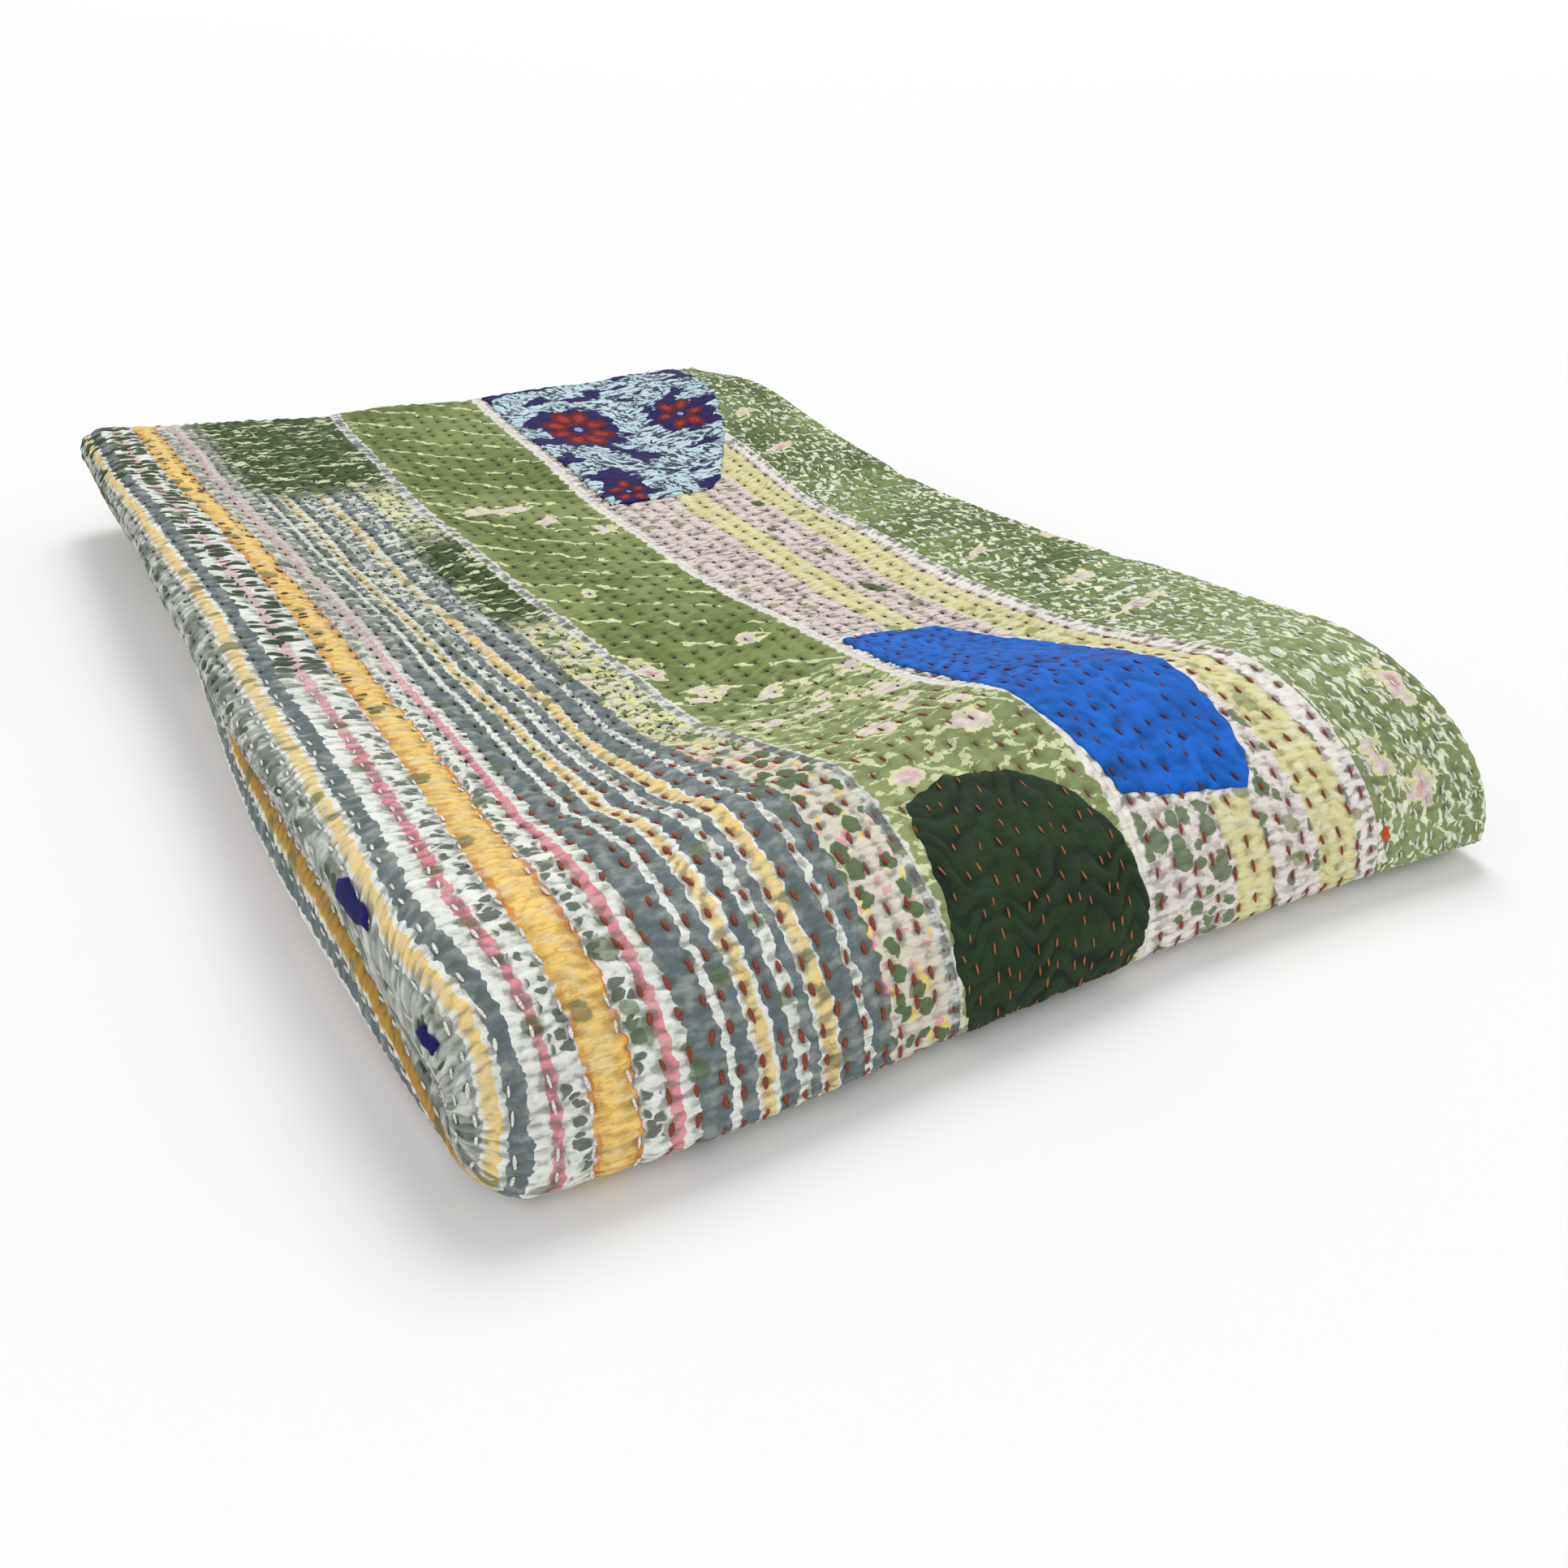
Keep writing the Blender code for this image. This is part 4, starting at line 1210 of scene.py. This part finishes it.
def floral_cotton():
    """Light blue cotton, crinkled in dark lines, with navy blotches and red flowers."""
    cloth = Cloth("floral_cotton", 0.85)
    place = cloth.place
    shifted = cloth.ragged(0.0022)
    warped = cloth.ragged(0.0014)
    slanted = add(cloth.tree, "ShaderNodeMapping", {"Vector": warped, "Rotation": (0, 0, 1.1)})[0]
    flat_lines = abs(warped.noise(60.0, 150.0) - 0.5).step(*CRINKLE_LINE)
    other_lines = abs(slanted.noise(60.0, 190.0) - 0.5).step(*CRINKLE_LINE)
    which = place.noise(26.0, 26.0, 1.0).step(0.47, 0.53)
    lines = flat_lines * (1.0 - which) | other_lines * which
    cloud = place.noise(60.0, 60.0).step(0.4, 0.7)
    cloth.colour = cloth.mixed(cloud * 0.4, (198, 224, 234), (220, 234, 238))
    cloth.lay(lines * 0.92, (20, 26, 48))
    frayed = (place.noise(80.0, 80.0) - 0.5) * 1.2
    around = (cloth.stored("ground") + frayed).step(0.0, 0.06)
    cloth.lay(shifted.noise(30.0, 44.0).step(0.565, 0.580) | around, (30, 18, 86))
    petals = cloth.stored("petals")
    # red petals, lighter in their middles as a painted highlight
    cloth.lay(petals.step(0.04, 0.14), cloth.mixed(petals.step(0.35, 0.75), (104, 16, 22), (176, 46, 44)))
    cloth.lay(cloth.stored("hearts").step(0.0, 0.25), (150, 160, 220))
    return cloth.finish(crest=cloth.crest(0.3), crinkle=1.3)


PETAL_PLACE = 0.60
PETAL_LENGTH = 0.40
PETAL_WIDTH = 0.33
HEART_SHARE = 0.13
GROUND_SHARES = (1.15, 1.10)


def add_flowers(piece, rows):
    """Stores petals, hearts and navy ground. Columns: across, along, reach each way, petals,
    turn."""
    petals = []
    hearts = []
    ground = []
    for x, y, reach_x, reach_y, count, turn in rows:
        hearts.append((x, y, HEART_SHARE * reach_x, HEART_SHARE * reach_y, 0.0))
        ground.append((x, y, GROUND_SHARES[0] * reach_x, GROUND_SHARES[1] * reach_y, 0.0))
        for number in range(count):
            angle = turn + 2 * math.pi * number / count
            out = np.array([reach_x * math.cos(angle), reach_y * math.sin(angle)])
            reach = float(np.linalg.norm(out))
            petals.append((x + PETAL_PLACE * out[0], y + PETAL_PLACE * out[1], PETAL_LENGTH * reach,
                           PETAL_WIDTH * reach_x, math.atan2(out[1], out[0])))
    add_smudges(piece, "petals", petals)
    add_smudges(piece, "hearts", hearts)
    add_smudges(piece, "ground", ground)


add_flowers(floral, (
    (0.772, 1.322, 0.024, 0.035, 8, 0.2), (0.843, 1.306, 0.016, 0.028, 6, 0.8),
    (0.750, 1.196, 0.013, 0.018, 5, 0.1),
))
floral.data.materials.append(floral_cotton())

scrap_side = patch("scrap_navy_side_cloth", "scrap_navy_side",
                   ((0.461, 0.824), (0.457, 0.850)), ((0.461, 0.824), (0.4645, 0.8245)),
                   ((0.4645, 0.8245), (0.466, 0.843)), ((0.457, 0.850), (0.462, 0.850), (0.466, 0.843)),
                   (10, 24), 0.0085, 0.0001, 0.0002)
scrap_corner = patch("scrap_navy_corner_cloth", "scrap_navy_corner",
                     ((0.4585, 0.7595), (0.4565, 0.7785)), ((0.4585, 0.7595), (0.4635, 0.7595)),
                     ((0.4635, 0.7595), (0.4615, 0.7720)), ((0.4565, 0.7785), (0.4615, 0.7720)),
                     (8, 16), 0.0085, 0.0001, 0.0002)
NAVY = plain_patch("navy_cotton", (24, 18, 96), 0.4, 0.30)
scrap_side.data.materials.append(NAVY)
scrap_corner.data.materials.append(NAVY)

# Thread: each stitch that shows is a short spindle of cotton thread lying in its hollow.


def thread_cotton(name, colour):
    material, shader = new_material(name, {"Roughness": 0.7})
    tree = material.node_tree
    place = add(tree, "ShaderNodeTexCoord")["Object"]
    twist = add(tree, "ShaderNodeTexNoise", {"Vector": place, "Scale": 1600.0, "Detail": 2.0})["Fac"]
    darker = tuple(v * 0.55 for v in linear(*colour)[:3]) + (1.0,)
    shaded = add(tree, "ShaderNodeMix", {0: twist.step(0.35, 0.65), 6: darker, 7: colour},
                 data_type="RGBA")[2]
    feed(shader["Base Color"], shaded)
    bump = add(tree, "ShaderNodeBump", {"Height": twist, "Distance": 0.0002})[0]
    feed(shader["Normal"], bump)
    return material


STITCH_LEAN = 0.16
STITCH_THICKNESS = 0.55
LEAST_HEIGHT = 0.0006
STITCH_LIFT = 0.0003
STEP_ASIDE = 0.0005


def sew(name, material, printed, along, lengths, widths, lift):
    """A run of stitches as one mesh: a spindle repeated by an array, each put in its place."""
    mesh = new_mesh(name, bmesh.ops.create_uvsphere, u_segments=6, v_segments=4, radius=1.0)
    one = np.array([v.co[:] for v in mesh.vertices])
    piece = new_object(name, mesh)
    array = piece.modifiers.new("stitches", "ARRAY")
    array.count = len(printed)
    array.use_merge_vertices = False
    evaluated = piece.evaluated_get(bpy.context.evaluated_depsgraph_get())
    many = bpy.data.meshes.new_from_object(evaluated)
    piece.modifiers.clear()
    piece.data = many
    around = STEP_ASIDE * np.array([[0, 0], [1, 0], [0, 1]])
    sites = [fold(across_of(printed + dx, along + dy)[:, None], (along + dy)[:, None])[:, 0]
             for dx, dy in around]
    right = sites[1] - sites[0]
    forward = sites[2] - sites[0]
    right /= np.linalg.norm(right, axis=1, keepdims=True)
    forward /= np.linalg.norm(forward, axis=1, keepdims=True)
    up = np.cross(right, forward)
    up /= np.linalg.norm(up, axis=1, keepdims=True)
    lean = np.random.default_rng(32).normal(0, STITCH_LEAN, len(printed))[:, None]
    turned = forward * np.cos(lean) + right * np.sin(lean)
    right = right * np.cos(lean) - forward * np.sin(lean)
    forward = turned
    centre = sites[0] + up * (lift + creases(across_of(printed, along), along))[:, None]
    centre[:, 2] = np.maximum(centre[:, 2], LEAST_HEIGHT)
    shaped = (one[None, :, 0:1] * widths[:, None, None] * right[:, None]
              + one[None, :, 2:3] * lengths[:, None, None] * forward[:, None]
              + one[None, :, 1:2] * STITCH_THICKNESS * widths[:, None, None] * up[:, None])
    many.vertices.foreach_set("co", (centre[:, None] + shaped).ravel())
    many.shade_smooth()
    many.update()
    piece.data.materials.append(material)
    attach(piece, "root")
    return piece


THREADS = {
    "rust": thread_cotton("rust_thread", (150, 66, 40)),
    "dark": thread_cotton("dark_thread", (40, 32, 30)),
    "white": thread_cotton("white_thread", (245, 244, 238)),
    "orange": thread_cotton("orange_thread", (178, 104, 54)),
    "maroon": thread_cotton("maroon_thread", (110, 30, 40)),
}
# Columns: first and last place printed, start and end along, thread, depth of the hollows,
# half length and half width of a stitch
SEWN_ROWS = (
    (0.428, 0.515, 0.00, 1.00, "white", 0.0011, 0.0023, 0.00065),
    (0.428, 0.515, 1.00, 1.40, "dark", 0.0011, 0.0014, 0.00050),
    (0.515, 0.632, 0.66, 0.88, "rust", 0.0013, 0.0026, 0.00090),
    (0.515, 0.632, 0.88, 1.40, "dark", 0.0013, 0.0015, 0.00060),
    (0.636, 0.726, 0.66, 0.84, "rust", 0.0009, 0.0021, 0.00060),
    (0.636, 0.726, 0.84, 1.40, "dark", 0.0009, 0.0012, 0.00050),
    (0.728, 0.842, 0.66, 0.88, "rust", 0.0011, 0.0025, 0.00075),
    (0.728, 0.842, 0.88, 1.40, "dark", 0.0011, 0.0014, 0.00055),
    (0.845, 0.945, 0.66, 1.40, "white", 0.0010, 0.0021, 0.00060),
)
# Columns: thread, half length and half width of a stitch, height above the face side
PATCH_STITCHES = (
    (DARK_GREEN_OUTLINE, "orange", 0.0019, 0.00045, 0.0003),
    (BLUE_OUTLINE, "maroon", 0.0020, 0.00055, 0.0003),
    (FLORAL_OUTLINE, "dark", 0.0012, 0.00045, 0.0004),
)
sewn = {thread: [] for thread in THREADS}
for first, last, start, end_along, thread, hollow, half_length, half_width in SEWN_ROWS:
    for number in np.flatnonzero((STITCH_ROWS > first) & (STITCH_ROWS < last)):
        count = np.arange(math.ceil(start / STITCH_PERIOD), math.floor(end_along / STITCH_PERIOD))
        centre = stitch_centre(number, count)
        printed = STITCH_ROWS[number] - row_wobble(np.full(len(centre), STITCH_ROWS[number]), centre)
        across = across_of(printed, centre)
        for x, y, printed_x in zip(across, centre, printed):
            stitch = (thread, half_length, half_width, STITCH_LIFT - hollow)
            for outline, *on_patch in PATCH_STITCHES:
                if inside(outline, x, y) > 0.001:
                    stitch = on_patch
                twin_inside = inside(outline, x - TWIN_STITCH[0], y - TWIN_STITCH[1])
                if number % 2 == 0 and twin_inside > 0.002:
                    twin_place = (printed_x - TWIN_STITCH[0], y - TWIN_STITCH[1])
                    sewn[on_patch[0]].append(twin_place + tuple(on_patch[1:]))
            sewn[stitch[0]].append((printed_x, y) + tuple(stitch[1:]))
for thread, stitches in sewn.items():
    table = np.array(stitches)
    spread = np.random.default_rng(31).uniform(0.8, 1.25, (2, len(table)))
    sew("stitches_" + thread, THREADS[thread], table[:, 0], table[:, 1], table[:, 2] * spread[0],
        table[:, 3] * spread[1], table[:, 4])

# Room: a pale floor, soft light from above and a camera at the photograph's angle
LENS = 32.98
CAMERA_PLACE = (-0.3301, -0.6414, 0.3164)
YAW, PITCH, ROLL = (math.radians(angle) for angle in (33.96, 28.48, 2.82))
PALE_GREY = (0.90, 0.90, 0.90, 1.0)
LIGHT = (1.0, 1.0, 1.0, 1.0)

floor = new_object("floor", new_mesh("floor", bmesh.ops.create_grid, x_segments=1, y_segments=1,
                                     size=40.0))
floor.data.materials.append(new_material("pale_floor", {"Base Color": PALE_GREY, "Roughness": 0.9})[0])
floor.location.z = -0.0005

# A lit white cloth hangs far behind, square to the way the camera looks
lit = new_material("lit_backdrop", {"Base Color": PALE_GREY, "Emission Color": LIGHT,
                                    "Emission Strength": 0.6})[0]
hung = (Matrix.Rotation(-YAW, 4, "Z") @ Matrix.Translation((0.0, 30.0, 0.0))
        @ Matrix.Rotation(math.pi / 2, 4, "X") @ Matrix.Diagonal((40.0, 5.0, 1.0, 1.0)))
backdrop = new_object("backdrop", new_mesh("backdrop", bmesh.ops.create_grid, x_segments=1,
                                           y_segments=1, size=1.0, matrix=hung))
backdrop.data.materials.append(lit)
backdrop.visible_shadow = False
backdrop.visible_diffuse = False

# Columns: name, direction it comes from, width of the soft source, strength
LAMPS = (
    ("key", (0.45, 0.75, 1.10), 0.50, 1.50),
    ("fill", (-0.60, -0.95, 0.90), 0.90, 0.85),
)
for name, source, spread_angle, power in LAMPS:
    lamp = bpy.data.lights.new(name, "SUN")
    lamp.angle = spread_angle
    lamp.energy = power
    holder = new_object(name, lamp)
    holder.rotation_euler = Vector(source).to_track_quat("Z", "Y").to_euler()

world = bpy.data.worlds.new("soft_room")
world.use_nodes = True
world.node_tree.nodes["Background"].inputs["Color"].default_value = LIGHT
world.node_tree.nodes["Background"].inputs["Strength"].default_value = 0.55
bpy.context.scene.world = world

camera_data = bpy.data.cameras.new("camera")
camera_data.sensor_width = 36.0
camera_data.sensor_fit = "HORIZONTAL"
camera_data.lens = LENS
camera = new_object("camera", camera_data)
camera.rotation_mode = "QUATERNION"
turn = (Matrix.Rotation(-YAW, 4, "Z") @ Matrix.Rotation(math.pi / 2 - PITCH, 4, "X")
        @ Matrix.Rotation(ROLL, 4, "Z"))
camera.matrix_world = Matrix.Translation(CAMERA_PLACE) @ turn
bpy.context.scene.camera = camera
bpy.context.scene.view_settings.view_transform = "Standard"
